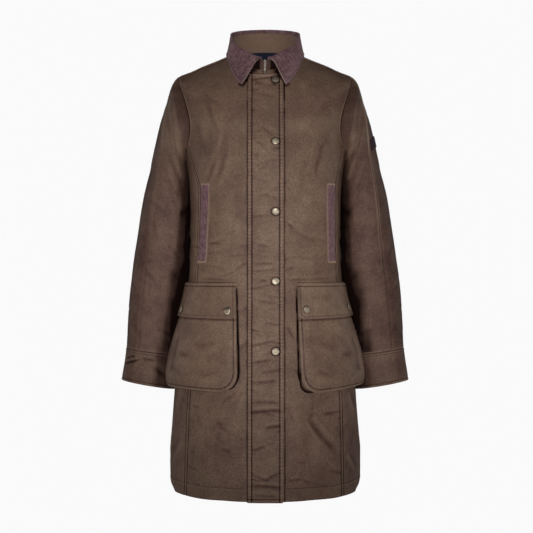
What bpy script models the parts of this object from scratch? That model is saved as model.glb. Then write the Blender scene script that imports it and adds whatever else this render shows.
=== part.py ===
# A waxed cotton coat on an unseen wearer: every cut piece is a thin wall on one worn form.
# Metres, +Z up, the front faces -Y and the wearer's left is +X.
# The origin lies between the two points where the collar meets the shoulders.

import math
from collections import namedtuple

import bmesh
import bpy
from mathutils import Matrix, Vector

MM = 0.001

# Cloth and seams
CLOTH = 1.6 * MM
DOUBLE_CLOTH = 2.4 * MM
SEAM_GAP = 0.3 * MM
LAY_GAP = 0.9 * MM
ARMHOLE_GAP = 0.75 * MM

# Lengths of the coat, as heights from the origin
SHOULDER_HEIGHT = -44 * MM
UNDERARM_HEIGHT = -206 * MM
PRINCESS_TOP = -190 * MM
HEM_HEIGHT = -901 * MM

# The worn form: one row for each level, sizes in millimetres.
# front_drop and back_rise tip a level down at the centre front and up at the centre back.
BodyRow = namedtuple(
    "BodyRow", "height half_width front_depth back_depth front_drop back_rise fullness"
)
BODY = [
    BodyRow(0, 72, 78, 62, 40, 22, 0.00),
    BodyRow(-12, 100, 86, 70, 43, 24, 0.00),
    BodyRow(-26, 137, 94, 80, 46, 25, 0.00),
    BodyRow(-44, 182, 103, 91, 48, 24, 0.00),
    BodyRow(-80, 180, 112, 100, 40, 19, 0.00),
    BodyRow(-125, 174, 121, 108, 27, 11, 0.00),
    BodyRow(-165, 168, 128, 113, 14, 5, 0.01),
    BodyRow(-206, 166, 133, 115, 6, 2, 0.02),
    BodyRow(-230, 164.5, 134, 115, 4, 1, 0.02),
    BodyRow(-262, 160, 135, 114, 2, 0, 0.03),
    BodyRow(-330, 157, 128, 110, 0, 0, 0.03),
    BodyRow(-390, 157, 122, 108, 0, 0, 0.03),
    BodyRow(-450, 159, 124, 114, 0, 0, 0.03),
    BodyRow(-520, 168, 134, 126, 1, 0, 0.03),
    BodyRow(-600, 180, 145, 136, 3, 0, 0.03),
    BodyRow(-700, 190, 154, 143, 5, 0, 0.03),
    BodyRow(-800, 194.5, 160, 147, 7, 0, 0.03),
    BodyRow(-930, 198, 165, 150, 10, 0, 0.03),
]

# The largest soft folds of the body: place and lean in degrees round it, lengths in millimetres.
# A fold with a negative depth is a trough.
BodyFold = namedtuple("BodyFold", "angle lean top bottom spread depth")
BODY_FOLDS = [
    BodyFold(-38, -8, -690, -1060, 7, 6.0),
    BodyFold(-24, -5, -700, -1060, 5, -4.5),
    BodyFold(28, 6, -690, -1060, 6, -5.0),
    BodyFold(42, 6, -700, -1060, 6, 6.0),
    BodyFold(-34, 10, -140, -330, 5, -2.5),
    BodyFold(36, -8, -150, -330, 5, -2.5),
    BodyFold(-84, -4, -690, -1060, 7, 5.0),
    BodyFold(84, 4, -690, -1060, 7, 5.0),
    BodyFold(118, 4, -480, -980, 9, -5.0),
    BodyFold(-118, -4, -480, -980, 9, -5.0),
    BodyFold(150, 6, -450, -980, 9, 6.0),
    BodyFold(-150, -6, -450, -980, 9, 6.0),
    BodyFold(178, 3, -430, -980, 9, -5.0),
    BodyFold(152, -14, -250, -430, 7, -3.0),
    BodyFold(-152, 14, -250, -430, 7, -3.0),
]

# The armhole, as half an oval on the form in front of the shoulder point and half behind it
ARMHOLE_FRONT_ANGLE = 26
ARMHOLE_BACK_ANGLE = 30

# The seams between the fronts or back and the side panels, in degrees from the centre front.
# The two front seams are not quite alike, because the coat hangs a little to one side.
SeamRow = namedtuple("SeamRow", "height left_angle right_angle back_angle")
SIDE_SEAMS = [
    SeamRow(-190, 74.5, 74.5, 107.9),
    SeamRow(-235, 69, 65, 118),
    SeamRow(-280, 66, 57.5, 121),
    SeamRow(-340, 67.5, 59, 119),
    SeamRow(-430, 69, 61.5, 118),
    SeamRow(-520, 62, 58.5, 121),
    SeamRow(-700, 53, 52, 124),
    SeamRow(-930, 50, 49, 126),
]

# The sleeve on the wearer's left, from the shoulder to the cuff's edge, sizes in millimetres.
# tilt turns a section from level (0) to upright (90), and twist carries the overarm seam forward.
SleeveRow = namedtuple("SleeveRow", "across height back tilt half_width half_depth twist")
SLEEVE = [
    SleeveRow(182, -134, 4, 81, 77.5, 60, 1),
    SleeveRow(187.5, -163, 9, 72, 64.5, 62, 22),
    SleeveRow(193.5, -189, 15, 58, 55.5, 62, 41),
    SleeveRow(197, -222, 20, 43, 50.5, 62, 52),
    SleeveRow(202, -262, 24, 26, 48.5, 61, 57),
    SleeveRow(208, -312, 26, 14, 51.5, 60, 60),
    SleeveRow(214, -385, 28, 11, 57, 58, 62),
    SleeveRow(219.5, -450, 28, 9, 61, 56, 62),
    SleeveRow(228, -510, 28, 8, 59.5, 53, 62),
    SleeveRow(236, -590, 25, 7, 56, 49, 62),
    SleeveRow(239.5, -622, 23, 8, 54, 47, 62),
    SleeveRow(248, -690, 19, 10, 55, 44, 62),
]
CUFF_STATION = 11
SLEEVE_END = 12

# The largest soft folds of a sleeve: station down the arm and degrees round it from the overarm seam
SleeveFold = namedtuple("SleeveFold", "station angle length spread lean depth")
SLEEVE_FOLDS = [
    SleeveFold(2.4, 40, 1.6, 16, 20, -4.0),
    SleeveFold(3.6, 62, 2.4, 14, 10, 3.5),
    SleeveFold(6.2, 40, 2.6, 15, -20, -4.0),
    SleeveFold(7.6, 75, 1.8, 16, -35, 3.5),
    SleeveFold(8.4, 22, 2.0, 12, -12, -3.0),
    SleeveFold(7.4, 195, 1.8, 18, 25, -4.0),
    SleeveFold(8.2, 240, 1.8, 16, 30, 3.5),
    SleeveFold(9.4, 140, 1.4, 18, 25, -3.0),
]

# Collar: a stand, and a fall that rolls over its top edge
STAND_CLOTH = 2.0 * MM
FALL_CLOTH = 2.2 * MM
STAND_END_ANGLE = 3.6
FALL_END_ANGLE = 11.5
ROLL_RADIUS = 3.4 * MM
ROLL_RISE = 2.0 * MM
STAND_TOP_HALF_WIDTH = 70 * MM
STAND_TOP_FRONT_DEPTH = 73 * MM
STAND_TOP_BACK_DEPTH = 66 * MM
STAND_TOP_FRONT = -18 * MM
STAND_TOP_SIDE = 43 * MM
STAND_TOP_BACK = 61.5 * MM
# Where the fall's outer edge lies on the form, with its clearance, in degrees and millimetres
FallRow = namedtuple("FallRow", "angle left_lies right_lies height clearance")
FALL_EDGE = [
    FallRow(11.5, 17.5, 21.5, -28, 6.0),
    FallRow(45, 44, 46, -9, 5.0),
    FallRow(70, 66, 66, -5, 3.5),
    FallRow(90, 90, 90, -4.5, 3.0),
    FallRow(135, 135, 135, -13, 2.5),
    FallRow(180, 180, 180, -21, 2.5),
]

# Front fastening
FRONT_EDGE = 4.5 * MM
FLAP_MIDDLE = 21 * MM
FLAP_EDGE = {"left": 37.5 * MM, "right": 35.5 * MM}
FLAP_TOP_BELOW_NECK = 5 * MM
FLAP_BELOW_HEM = 3 * MM
ZIP_TAPE_HALF_WIDTH = 15 * MM
ZIP_CHAIN_HALF_WIDTH = 3 * MM
ZIP_TAPE_CLOTH = 1.2 * MM

# Bellows pockets, with sizes in millimetres from the centre front and from the origin
PocketRow = namedtuple("PocketRow", "inner_top inner_bottom bottom outer_lift")
POCKETS = {
    "left": PocketRow(63, 68, -690, 20),
    "right": PocketRow(58, 51, -685, 4),
}
POCKET_TOP = -477 * MM
POCKET_DEPTH = 207 * MM
POCKET_CORNER = 36 * MM
POCKET_OUTER_TOP_ANGLE = 80
POCKET_OUTER_BOTTOM_ANGLE = 77
POCKET_STAND_TOP = 3.0 * MM
POCKET_STAND_BOTTOM = 21 * MM
POCKET_OVERHANG = 7 * MM
GUSSET_GAP = 1.6 * MM
POCKET_FLAP_DEPTH = 71 * MM
POCKET_FLAP_OVERHANG = 0.5 * MM
POCKET_FLAP_RISE = 6 * MM

# Hand-warmer welts: the inner and outer corners in degrees from the centre front
WELT_TOP = -273 * MM
WELT_BOTTOM = -433 * MM
WELT_TOP_ANGLES = {"left": (50.7, 60.5), "right": (44.3, 52.6)}
WELT_BOTTOM_ANGLES = {"left": (52.4, 63.6), "right": (48.6, 58.0)}
WELT_CLOTH = 1.8 * MM

# Press studs
STUD_RADIUS = 7.75 * MM
STUD_THICKNESS = 2.6 * MM
STUD_ACROSS = 20.5 * MM
STUD_GAP = 0.8 * MM
FLAP_STUD_HEIGHTS = [height * MM for height in (-17, -181, -331, -472, -609)]
POCKET_STUD_DOWN = 55 * MM
POCKET_STUD_INSETS = {"inner": 0.09, "outer": 0.865}

# Plain patch on the wearer's left sleeve
PATCH_STATIONS = (3.5, 4.12)
PATCH_ANGLES = (-46, -3)
PATCH_CLOTH = 1.0 * MM

LINING_CLOTH = 1.0 * MM
LINING_TOP_BELOW_SEAM = 2 * MM
BACK_COLUMNS = 18

SIDES = {"left": 1, "right": -1}

WAXED = ("waxed_cotton", (0.105, 0.074, 0.053), 0.55, 0.0)
CORDUROY = ("corduroy", (0.085, 0.046, 0.045), 0.9, 0.0)
DRILL = ("tan_drill", (0.155, 0.112, 0.072), 0.85, 0.0)
NAVY = ("navy_lining", (0.012, 0.020, 0.040), 0.7, 0.0)
PEWTER = ("pewter", (0.42, 0.39, 0.33), 0.35, 1.0)
NICKEL = ("nickel_zip", (0.30, 0.26, 0.22), 0.4, 0.6)
PATCH = ("patch_cloth", (0.020, 0.014, 0.018), 0.8, 0.0)


# Curves through the tables


def slopes(knots, values):
    """Slopes at the knots of a curve that never swings past its values."""
    steps = [(v1 - v0) / (k1 - k0) for k0, k1, v0, v1 in zip(knots, knots[1:], values, values[1:])]
    inner = [2 * a * b / (a + b) if a * b > 0 else 0.0 for a, b in zip(steps, steps[1:])]
    return [steps[0], *inner, steps[-1]]


def value_at(knots, values, at):
    """The smooth curve through these values, run on straight past both ends."""
    if knots[0] > knots[-1]:
        knots, values = knots[::-1], values[::-1]
    slope = slopes(knots, values)
    if at <= knots[0]:
        return values[0] + slope[0] * (at - knots[0])
    if at >= knots[-1]:
        return values[-1] + slope[-1] * (at - knots[-1])
    i = max(n for n, knot in enumerate(knots[:-1]) if knot <= at)
    span = knots[i + 1] - knots[i]
    t = (at - knots[i]) / span
    rise = values[i + 1] - values[i]
    bend_in = slope[i] * span - rise
    bend_out = rise - slope[i + 1] * span
    return values[i] + t * rise + t * (1 - t) * ((1 - t) * bend_in + t * bend_out)


def column(rows, name, at, key="height"):
    """One column of a table, at any place between its rows."""
    return value_at([getattr(row, key) for row in rows], [getattr(row, name) for row in rows], at)


def between(start, end, share):
    return start + (end - start) * share


def spread(start, end, count):
    """Evenly spaced values from start to end, both included."""
    return [between(start, end, i / count) for i in range(count + 1)]


def ease(share):
    share = min(1.0, max(0.0, share))
    return share * share * (3 - 2 * share)


# The worn form of the body


def body_width(height):
    return column(BODY, "half_width", height / MM) * MM


def fold_height(angle, height):
    """How far the soft folds stand out of the form, in metres."""
    total = 0.0
    for fold in BODY_FOLDS:
        share = (height / MM - fold.top) / (fold.bottom - fold.top)
        if 0 < share < 1:
            away = (angle - fold.angle - fold.lean * (share - 0.5) + 180) % 360 - 180
            total += fold.depth * math.exp(-((away / fold.spread) ** 2)) * math.sin(math.pi * share) ** 2
    return total * MM


def form_point(angle, height):
    """A point of the form: angle in degrees from the centre front towards the wearer's left."""
    row = {name: column(BODY, name, height / MM) for name in BodyRow._fields[1:]}
    turn = math.radians(angle)
    sine, cosine = math.sin(turn), math.cos(turn)
    full = 1 + row["fullness"] * math.sin(2 * turn) ** 2
    depth = row["front_depth"] if cosine > 0 else row["back_depth"]
    tip = -row["front_drop"] * cosine if cosine > 0 else -row["back_rise"] * cosine
    out = fold_height(angle, height)
    flat = Vector((row["half_width"] * sine * full, -depth * cosine * full, 0)) * MM
    return flat + flat.normalized() * out + Vector((0, 0, height + tip * MM))


def form_normal(angle, height):
    turn, step = 0.5, 1.0 * MM
    around = form_point(angle + turn, height) - form_point(angle - turn, height)
    down = form_point(angle, height - step) - form_point(angle, height + step)
    return down.cross(around).normalized()


def on_body(angle, height, out=0.0):
    """A point moved out from the form along its normal."""
    return form_point(angle, height) + form_normal(angle, height) * out


def angle_at_width(across, height):
    """The angle of the form's point that lies this far from the centre line."""
    return math.degrees(math.asin(max(-1.0, min(1.0, across / body_width(height)))))


def armhole_place(turn, inset=0.0):
    """Angle and height of the armhole's edge: turn 0 at the shoulder, 90 in front, 180 under the arm."""
    half_height = (SHOULDER_HEIGHT - UNDERARM_HEIGHT) / 2 - inset
    middle = (SHOULDER_HEIGHT + UNDERARM_HEIGHT) / 2
    sine = math.sin(math.radians(turn))
    reach = ARMHOLE_FRONT_ANGLE if sine > 0 else ARMHOLE_BACK_ANGLE
    reach -= math.degrees(inset / body_width(middle))
    return 90 - reach * sine, middle + half_height * math.cos(math.radians(turn))


def armhole_turn(height):
    middle = (SHOULDER_HEIGHT + UNDERARM_HEIGHT) / 2
    return math.degrees(math.acos((height - middle) / (SHOULDER_HEIGHT - middle)))


def gap_angle(height):
    return math.degrees(SEAM_GAP / 2 / body_width(height))


def front_limit(height, side_name):
    """The angle where a front ends: shoulder seam, armhole or princess seam."""
    if height >= SHOULDER_HEIGHT:
        return 90 - gap_angle(height)
    if height >= PRINCESS_TOP:
        return armhole_place(armhole_turn(height))[0] - gap_angle(height)
    return column(SIDE_SEAMS, f"{side_name}_angle", height / MM) - gap_angle(height)


def back_limit(height):
    if height >= SHOULDER_HEIGHT:
        return 90 + gap_angle(height)
    if height >= PRINCESS_TOP:
        return armhole_place(360 - armhole_turn(height))[0] + gap_angle(height)
    return column(SIDE_SEAMS, "back_angle", height / MM) + gap_angle(height)


def panel_turns():
    """Points of the armhole's edge that the fronts and back share with the sleeves."""
    return spread(0, armhole_turn(PRINCESS_TOP), 7)


def side_turns():
    """Points of the armhole's edge that the side panels share with the sleeves."""
    start = armhole_turn(PRINCESS_TOP)
    return spread(start, 360 - start, 6)


def panel_heights():
    """The levels of the fronts and back, closer together round the armhole."""
    shoulder = spread(0, SHOULDER_HEIGHT, 4)
    armhole = [armhole_place(turn)[1] for turn in panel_turns()[1:]]
    return shoulder + armhole + spread(PRINCESS_TOP, HEM_HEIGHT, 15)[1:]


# Making solids


def material(finish):
    name, colour, roughness, metallic = finish
    made = bpy.data.materials.get(name) or bpy.data.materials.new(name)
    made.use_nodes = True
    shader = made.node_tree.nodes["Principled BSDF"]
    shader.inputs["Base Color"].default_value = (*colour, 1)
    shader.inputs["Roughness"].default_value = roughness
    shader.inputs["Metallic"].default_value = metallic
    return made


def add_object(name, mesh, finish):
    mesh.materials.append(material(finish))
    mesh.shade_smooth()
    mesh.set_sharp_from_angle(angle=math.radians(40))
    made = bpy.data.objects.new(name, mesh)
    COAT.objects.link(made)
    made.parent = ORIGIN
    return made


def cloth_wall(name, outer, inner, finish, closed=False):
    """A wall of cloth between two grids of points, rows down and columns across.

    With closed, the last column lies on the first, as round a tube.
    """
    rows, columns = len(outer), len(outer[0])
    cloth = bmesh.new()
    bmesh.ops.create_grid(cloth, x_segments=columns - 1, y_segments=rows - 1, size=1)
    place = cloth.verts.layers.int.new("place")
    for vert in cloth.verts:
        across = round((vert.co.x + 1) / 2 * (columns - 1))
        down = round((vert.co.y + 1) / 2 * (rows - 1))
        vert[place] = down * columns + across
    for vert in cloth.verts:
        vert.co = outer[vert[place] // columns][vert[place] % columns]
    if closed:
        bmesh.ops.remove_doubles(cloth, verts=cloth.verts, dist=0.01 * MM)
    made = bmesh.ops.extrude_face_region(cloth, geom=cloth.faces[:], use_keep_orig=True)
    for vert in (item for item in made["geom"] if isinstance(item, bmesh.types.BMVert)):
        vert.co = inner[vert[place] // columns][vert[place] % columns]
    bmesh.ops.recalc_face_normals(cloth, faces=cloth.faces)
    mesh = bpy.data.meshes.new(name)
    cloth.to_mesh(mesh)
    cloth.free()
    return add_object(name, mesh, finish)


def body_wall(name, places, finish, outside=0.0, cloth=CLOTH):
    """A wall on the form, from a grid of angles and heights, with its outer face this far out."""
    outer = [[on_body(*place, outside) for place in row] for row in places]
    inner = [[on_body(*place, outside - cloth) for place in row] for row in places]
    return cloth_wall(name, outer, inner, finish)


# Body panels


def front_angles(height, side_name):
    """Columns of a front: its edge, the storm flap's middle and edge, then on to its seam."""
    widths = (FRONT_EDGE, FLAP_MIDDLE, FLAP_EDGE[side_name])
    fixed = [angle_at_width(across, height) for across in widths]
    rest = spread(fixed[-1], front_limit(height, side_name), 7)[1:]
    return sorted(SIDES[side_name] * angle for angle in fixed + rest)


def make_fronts():
    for name in SIDES:
        places = [[(angle, height) for angle in front_angles(height, name)] for height in panel_heights()]
        body_wall(f"front_{name}", places, WAXED)


def make_back():
    places = []
    for height in panel_heights():
        limit = back_limit(height)
        places.append([(angle, height) for angle in spread(limit, 360 - limit, BACK_COLUMNS)])
    body_wall("back", places, WAXED)


def make_side_panels():
    """Each side panel hangs from the lower arc of the armhole."""
    tops = [armhole_place(turn) for turn in side_turns()]
    for name, side in SIDES.items():
        places = []
        for down in spread(0, 1, 15):
            row = []
            for angle, top in tops:
                first = column(SIDE_SEAMS, f"{name}_angle", top / MM)
                last = column(SIDE_SEAMS, "back_angle", top / MM)
                share = (angle - first) / (last - first)
                height = between(top, HEM_HEIGHT, down)
                low = column(SIDE_SEAMS, f"{name}_angle", height / MM) + gap_angle(height)
                high = column(SIDE_SEAMS, "back_angle", height / MM) - gap_angle(height)
                row.append((side * between(low, high, share), height))
            places.append(row)
        body_wall(f"side_{name}", places, WAXED)


# Sleeves


def sleeve_key(turn, key):
    """A point of one key section on the wearer's left: key 0 is the armhole's edge."""
    if key == 0:
        return form_point(*armhole_place(turn % 360, ARMHOLE_GAP))
    row = SLEEVE[key - 1]
    tilt = math.radians(row.tilt)
    around = math.radians(turn + row.twist)
    out = Vector((math.cos(tilt), 0, math.sin(tilt))) * row.half_width * math.cos(around)
    fore = Vector((0, -row.half_depth * math.sin(around), 0))
    return (Vector((row.across, row.back, row.height)) + out + fore) * MM


def sleeve_fold_height(turn, station):
    total = 0.0
    for fold in SLEEVE_FOLDS:
        along = (station - fold.station) / (fold.length / 2)
        if abs(along) < 1:
            away = (turn - fold.angle - fold.lean * along + 180) % 360 - 180
            total += fold.depth * math.exp(-((away / fold.spread) ** 2)) * math.cos(math.pi / 2 * along) ** 2
    return total * MM


def sleeve_smooth(turn, station):
    """A point of the sleeve with no folds: station counts key sections down the arm."""
    keys = [sleeve_key(turn, key) for key in range(SLEEVE_END + 1)]
    knots = list(range(SLEEVE_END + 1))
    return Vector([value_at(knots, [key[axis] for key in keys], station) for axis in range(3)])


def sleeve_normal(turn, station):
    if station == 0:
        return form_normal(*armhole_place(turn % 360, ARMHOLE_GAP))
    step = 0.02
    around = sleeve_smooth(turn + 1, station) - sleeve_smooth(turn - 1, station)
    down = sleeve_smooth(turn, station + step) - sleeve_smooth(turn, station - step)
    return around.cross(down).normalized()


def on_sleeve(turn, station, out, side):
    """A point moved out from the sleeve, on the side asked for."""
    folded = out + sleeve_fold_height(turn, station)
    point = sleeve_smooth(turn, station) + sleeve_normal(turn, station) * folded
    return Vector((side * point.x, point.y, point.z))


def sleeve_wall(name, turns, stations, side, finish, outside=0.0, cloth=CLOTH, closed=False):
    outer = [[on_sleeve(turn, station, outside, side) for turn in turns] for station in stations]
    inner = [[on_sleeve(turn, station, outside - cloth, side) for turn in turns] for station in stations]
    return cloth_wall(name, outer, inner, finish, closed)


def make_sleeves():
    """Each sleeve is two pieces that meet at the overarm seam (0) and the underarm seam (180)."""
    half_gap = math.degrees(SEAM_GAP / 2 / (50 * MM))
    stations = [0, 0.5, 1, 1.5, 2, 2.6, 3.2, 4, 5, 6, 6.7, 7.4, 8, 8.6, 9.3, 10, 10.5, 10.99]
    for name, side in SIDES.items():
        front_turns = [half_gap, *panel_turns()[1:], *side_turns()[1:3], 180 - half_gap]
        back_turns = [360 - turn for turn in reversed(front_turns)]
        sleeve_wall(f"sleeve_front_{name}", front_turns, stations, side, WAXED)
        sleeve_wall(f"sleeve_back_{name}", back_turns, stations, side, WAXED)


def make_cuffs():
    stations = spread(CUFF_STATION, SLEEVE_END, 3)
    for name, side in SIDES.items():
        sleeve_wall(f"cuff_{name}", spread(0, 360, 18), stations, side, WAXED, cloth=DOUBLE_CLOTH, closed=True)


def make_patch():
    turns = spread(*PATCH_ANGLES, 5)
    stations = spread(*PATCH_STATIONS, 3)
    outside = LAY_GAP + PATCH_CLOTH
    sleeve_wall("sleeve_patch", turns, stations, SIDES["left"], PATCH, outside, PATCH_CLOTH)


# Collar


def stand_top(angle):
    turn = math.radians(angle)
    cosine = math.cos(turn)
    depth = STAND_TOP_FRONT_DEPTH if cosine > 0 else STAND_TOP_BACK_DEPTH
    far = STAND_TOP_FRONT if cosine > 0 else STAND_TOP_BACK
    height = between(STAND_TOP_SIDE, far, abs(cosine))
    return Vector((STAND_TOP_HALF_WIDTH * math.sin(turn), -depth * cosine, height))


def on_stand(angle, share, out=0.0):
    """A point of the collar stand: share 0 at the neck seam, 1 at its top edge."""

    def point(at):
        seam = form_point(at, 0) + Vector((0, 0, LAY_GAP))
        return seam.lerp(stand_top(at), share)

    around = point(angle + 1) - point(angle - 1)
    up = stand_top(angle) - form_point(angle, 0)
    return point(angle) + around.cross(up).normalized() * out


def fall_angles():
    return spread(FALL_END_ANGLE, 360 - FALL_END_ANGLE, 30)


def make_collar_stand():
    ends = spread(STAND_END_ANGLE, FALL_END_ANGLE, 2)[:-1]
    angles = [*ends, *fall_angles(), *(360 - angle for angle in reversed(ends))]
    outer = [[on_stand(angle, share) for angle in angles] for share in spread(0, 1, 3)]
    inner = [[on_stand(angle, share, -STAND_CLOTH) for angle in angles] for share in spread(0, 1, 3)]
    cloth_wall("collar_stand", outer, inner, DRILL)


def fall_profile(angle):
    """Points of the fall's corduroy face, from inside the neck, over the roll and down to its edge."""
    base = on_stand(angle, 1)
    out = on_stand(angle, 1, 1.0) - base
    up = (stand_top(angle) - form_point(angle, 0)).normalized()
    middle = base + out * (ROLL_RADIUS - FALL_CLOTH) + up * ROLL_RISE
    points = [base - out * FALL_CLOTH + up * SEAM_GAP]
    for turn in spread(180, 0, 5):
        across, above = math.cos(math.radians(turn)), math.sin(math.radians(turn))
        points.append(middle + (out * across + up * above) * ROLL_RADIUS)
    side_name = "left" if angle <= 180 else "right"
    mirrored = min(angle, 360 - angle)
    lies = column(FALL_EDGE, f"{side_name}_lies", mirrored, "angle") * SIDES[side_name]
    height = column(FALL_EDGE, "height", mirrored, "angle") * MM
    clearance = column(FALL_EDGE, "clearance", mirrored, "angle") * MM
    edge = on_body(lies, height, clearance + FALL_CLOTH)
    start = points[-1]
    bend = start - up * 0.42 * (edge - start).length + out * 2.5 * MM
    for share in spread(0, 1, 6)[1:]:
        points.append(start.lerp(bend, share).lerp(bend.lerp(edge, share), share))
    return points


def grid_normals(grid):
    """Normals of a grid of points, from each point's neighbours down and across."""
    last_row, last_column = len(grid) - 1, len(grid[0]) - 1
    normals = []
    for i, row in enumerate(grid):
        down = [grid[min(i + 1, last_row)][j] - grid[max(i - 1, 0)][j] for j in range(last_column + 1)]
        across = [row[min(j + 1, last_column)] - row[max(j - 1, 0)] for j in range(last_column + 1)]
        normals.append([d.cross(a).normalized() for d, a in zip(down, across)])
    return normals


def make_collar_fall():
    angles = fall_angles()
    profiles = [fall_profile(angle) for angle in angles]
    face = [[profile[i] for profile in profiles] for i in range(len(profiles[0]))]
    normals = grid_normals(face)
    under = [[p - n * FALL_CLOTH for p, n in zip(*rows)] for rows in zip(face, normals)]
    under[0] = [on_stand(angle, 1) + (face[0][i] - on_stand(angle, 1, -FALL_CLOTH)) for i, angle in enumerate(angles)]
    cloth_wall("collar_fall", face, under, CORDUROY)


def make_neck_lining():
    """The lining below the back of the neck, on the back panel's own points."""
    heights = [-LINING_TOP_BELOW_SEAM] + panel_heights()[1:8]
    places = []
    for height in heights:
        limit = back_limit(height)
        places.append([(angle, height) for angle in spread(limit, 360 - limit, BACK_COLUMNS)[3:-3]])
    body_wall("neck_lining", places, NAVY, outside=-CLOTH - SEAM_GAP, cloth=LINING_CLOTH)


# Front fastening


def flap_angles(height):
    widths = (-FLAP_EDGE["right"], -FLAP_MIDDLE, -FRONT_EDGE, FRONT_EDGE, FLAP_MIDDLE, FLAP_EDGE["left"])
    return [angle_at_width(across, height) for across in widths]


def make_storm_flap():
    heights = [-FLAP_TOP_BELOW_NECK] + panel_heights()[1:-1] + [HEM_HEIGHT - FLAP_BELOW_HEM]
    places = [[(angle, height) for angle in flap_angles(height)] for height in heights]
    body_wall("storm_flap", places, WAXED, outside=SEAM_GAP + DOUBLE_CLOTH, cloth=DOUBLE_CLOTH)


def make_zip():
    """Two tapes behind the fronts' edges and the chain between them, up to the top of the stand."""
    tape = ZIP_TAPE_HALF_WIDTH
    chain = ZIP_CHAIN_HALF_WIDTH
    widths = (-tape, -chain - 0.4 * MM, -chain, chain, chain + 0.4 * MM, tape)
    behind = CLOTH + 3 * SEAM_GAP
    proud = [-behind, -behind, -SEAM_GAP, -SEAM_GAP, -behind, -behind]
    outer, inner = [], []
    for share in (0.97, 0.5):
        angles = [math.degrees(math.asin(across / STAND_TOP_HALF_WIDTH)) for across in widths]
        lower = STAND_CLOTH - CLOTH
        outer.append([on_stand(angle, share, out - lower) for angle, out in zip(angles, proud)])
        inner.append([on_stand(angle, share, -behind - lower - ZIP_TAPE_CLOTH) for angle in angles])
    for height in panel_heights()[:-1]:
        angles = [angle_at_width(across, height) for across in widths]
        outer.append([on_body(angle, height, out) for angle, out in zip(angles, proud)])
        inner.append([on_body(angle, height, -behind - ZIP_TAPE_CLOTH) for angle in angles])
    cloth_wall("zip", outer, inner, NICKEL)


# Pockets


def pocket_place(across, down, side_name, inset=0.0):
    """Angle and height of a point of a pocket's outline: across from its inner edge, down from its top.

    The lower corners are round. inset draws the outline in on both sides and the bottom.
    """
    pocket = POCKETS[side_name]
    bottom = (pocket.bottom + pocket.outer_lift * across) * MM + inset
    height = between(POCKET_TOP, bottom, down)
    corner = POCKET_CORNER - inset
    above = height - bottom
    cut = 0.0
    if above < corner:
        cut = corner - math.sqrt(max(0.0, corner**2 - (corner - above) ** 2))
    start = angle_at_width(between(pocket.inner_top, pocket.inner_bottom, down) * MM, height)
    end = between(POCKET_OUTER_TOP_ANGLE, POCKET_OUTER_BOTTOM_ANGLE, down)
    pull = math.degrees((cut + inset) / body_width(height))
    return between(start + pull, end - pull, across), height


def pocket_stand(down):
    """How far the pocket's face stands off the front, fullest near the bottom."""
    return between(POCKET_STAND_TOP, POCKET_STAND_BOTTOM, ease(down * 1.15))


def flap_share():
    """How far down the pocket its flap reaches."""
    return POCKET_FLAP_DEPTH / POCKET_DEPTH


def pocket_downs():
    """Levels of a pocket's face, closer together round the lower corners."""
    corner = POCKET_CORNER / POCKET_DEPTH
    round_part = [1 - corner + corner * math.sin(math.radians(turn)) for turn in (0, 25, 50, 72, 90)]
    return spread(0, flap_share(), 4)[:-1] + spread(flap_share(), 1 - corner, 3)[:-1] + round_part


def pocket_grid(side_name, downs, acrosses, out_at, inset=0.0):
    side = SIDES[side_name]
    grid = []
    for down in downs:
        row = []
        for across in acrosses:
            angle, height = pocket_place(across, down, side_name, inset)
            row.append(on_body(side * angle, height, out_at(across, down)))
        grid.append(row)
    return grid


def make_pocket_face(side_name):
    def face(across, down):
        edge = min(across, 1 - across, (1 - down) * 1.3)
        return pocket_stand(down) - 3 * MM * (1 - ease(edge / 0.12)) * ease(down * 2)

    acrosses = spread(0, 1, 9)
    outer = pocket_grid(side_name, pocket_downs(), acrosses, lambda a, d: face(a, d) + CLOTH)
    inner = pocket_grid(side_name, pocket_downs(), acrosses, face)
    cloth_wall(f"pocket_face_{side_name}", outer, inner, WAXED)


def make_pocket_gusset(side_name):
    """The strip that joins the face to the front, down one side, along the bottom and up the other."""
    side = SIDES[side_name]
    downs = pocket_downs()[1:]
    path = [(0, down) for down in downs] + [(share, 1) for share in (0.33, 0.67)]
    path += [(1, down) for down in reversed(downs)]
    rims = []
    for inset in (POCKET_OVERHANG, POCKET_OVERHANG + CLOTH):
        low, high = [], []
        for across, down in path:
            angle, height = pocket_place(across, down, side_name, inset)
            top = pocket_stand(down) - 3.4 * MM * ease(down * 2) - SEAM_GAP
            low.append(on_body(side * angle, height, GUSSET_GAP))
            high.append(on_body(side * angle, height, max(top, GUSSET_GAP + 1.2 * MM)))
        rims.append([low, high])
    cloth_wall(f"pocket_gusset_{side_name}", rims[0], rims[1], WAXED)


def make_pocket_flap(side_name):
    side = SIDES[side_name]
    rise = POCKET_FLAP_RISE / POCKET_DEPTH
    on_face = CLOTH + LAY_GAP
    outer, inner = [], []
    for down in [-rise, -rise / 3, *spread(0, flap_share(), 4)]:
        outer_row, inner_row = [], []
        for across in spread(0, 1, 9):
            angle, height = pocket_place(across, down, side_name)
            widen = math.degrees(POCKET_FLAP_OVERHANG / body_width(height)) * (2 * across - 1)
            lie = between(LAY_GAP, pocket_stand(down) + on_face, min(1, 1 + down / rise))
            inner_row.append(on_body(side * (angle + widen), height, lie))
            outer_row.append(on_body(side * (angle + widen), height, lie + DOUBLE_CLOTH))
        outer.append(outer_row)
        inner.append(inner_row)
    cloth_wall(f"pocket_flap_{side_name}", outer, inner, WAXED)


def make_pockets():
    for side_name in SIDES:
        make_pocket_face(side_name)
        make_pocket_gusset(side_name)
        make_pocket_flap(side_name)


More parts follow.
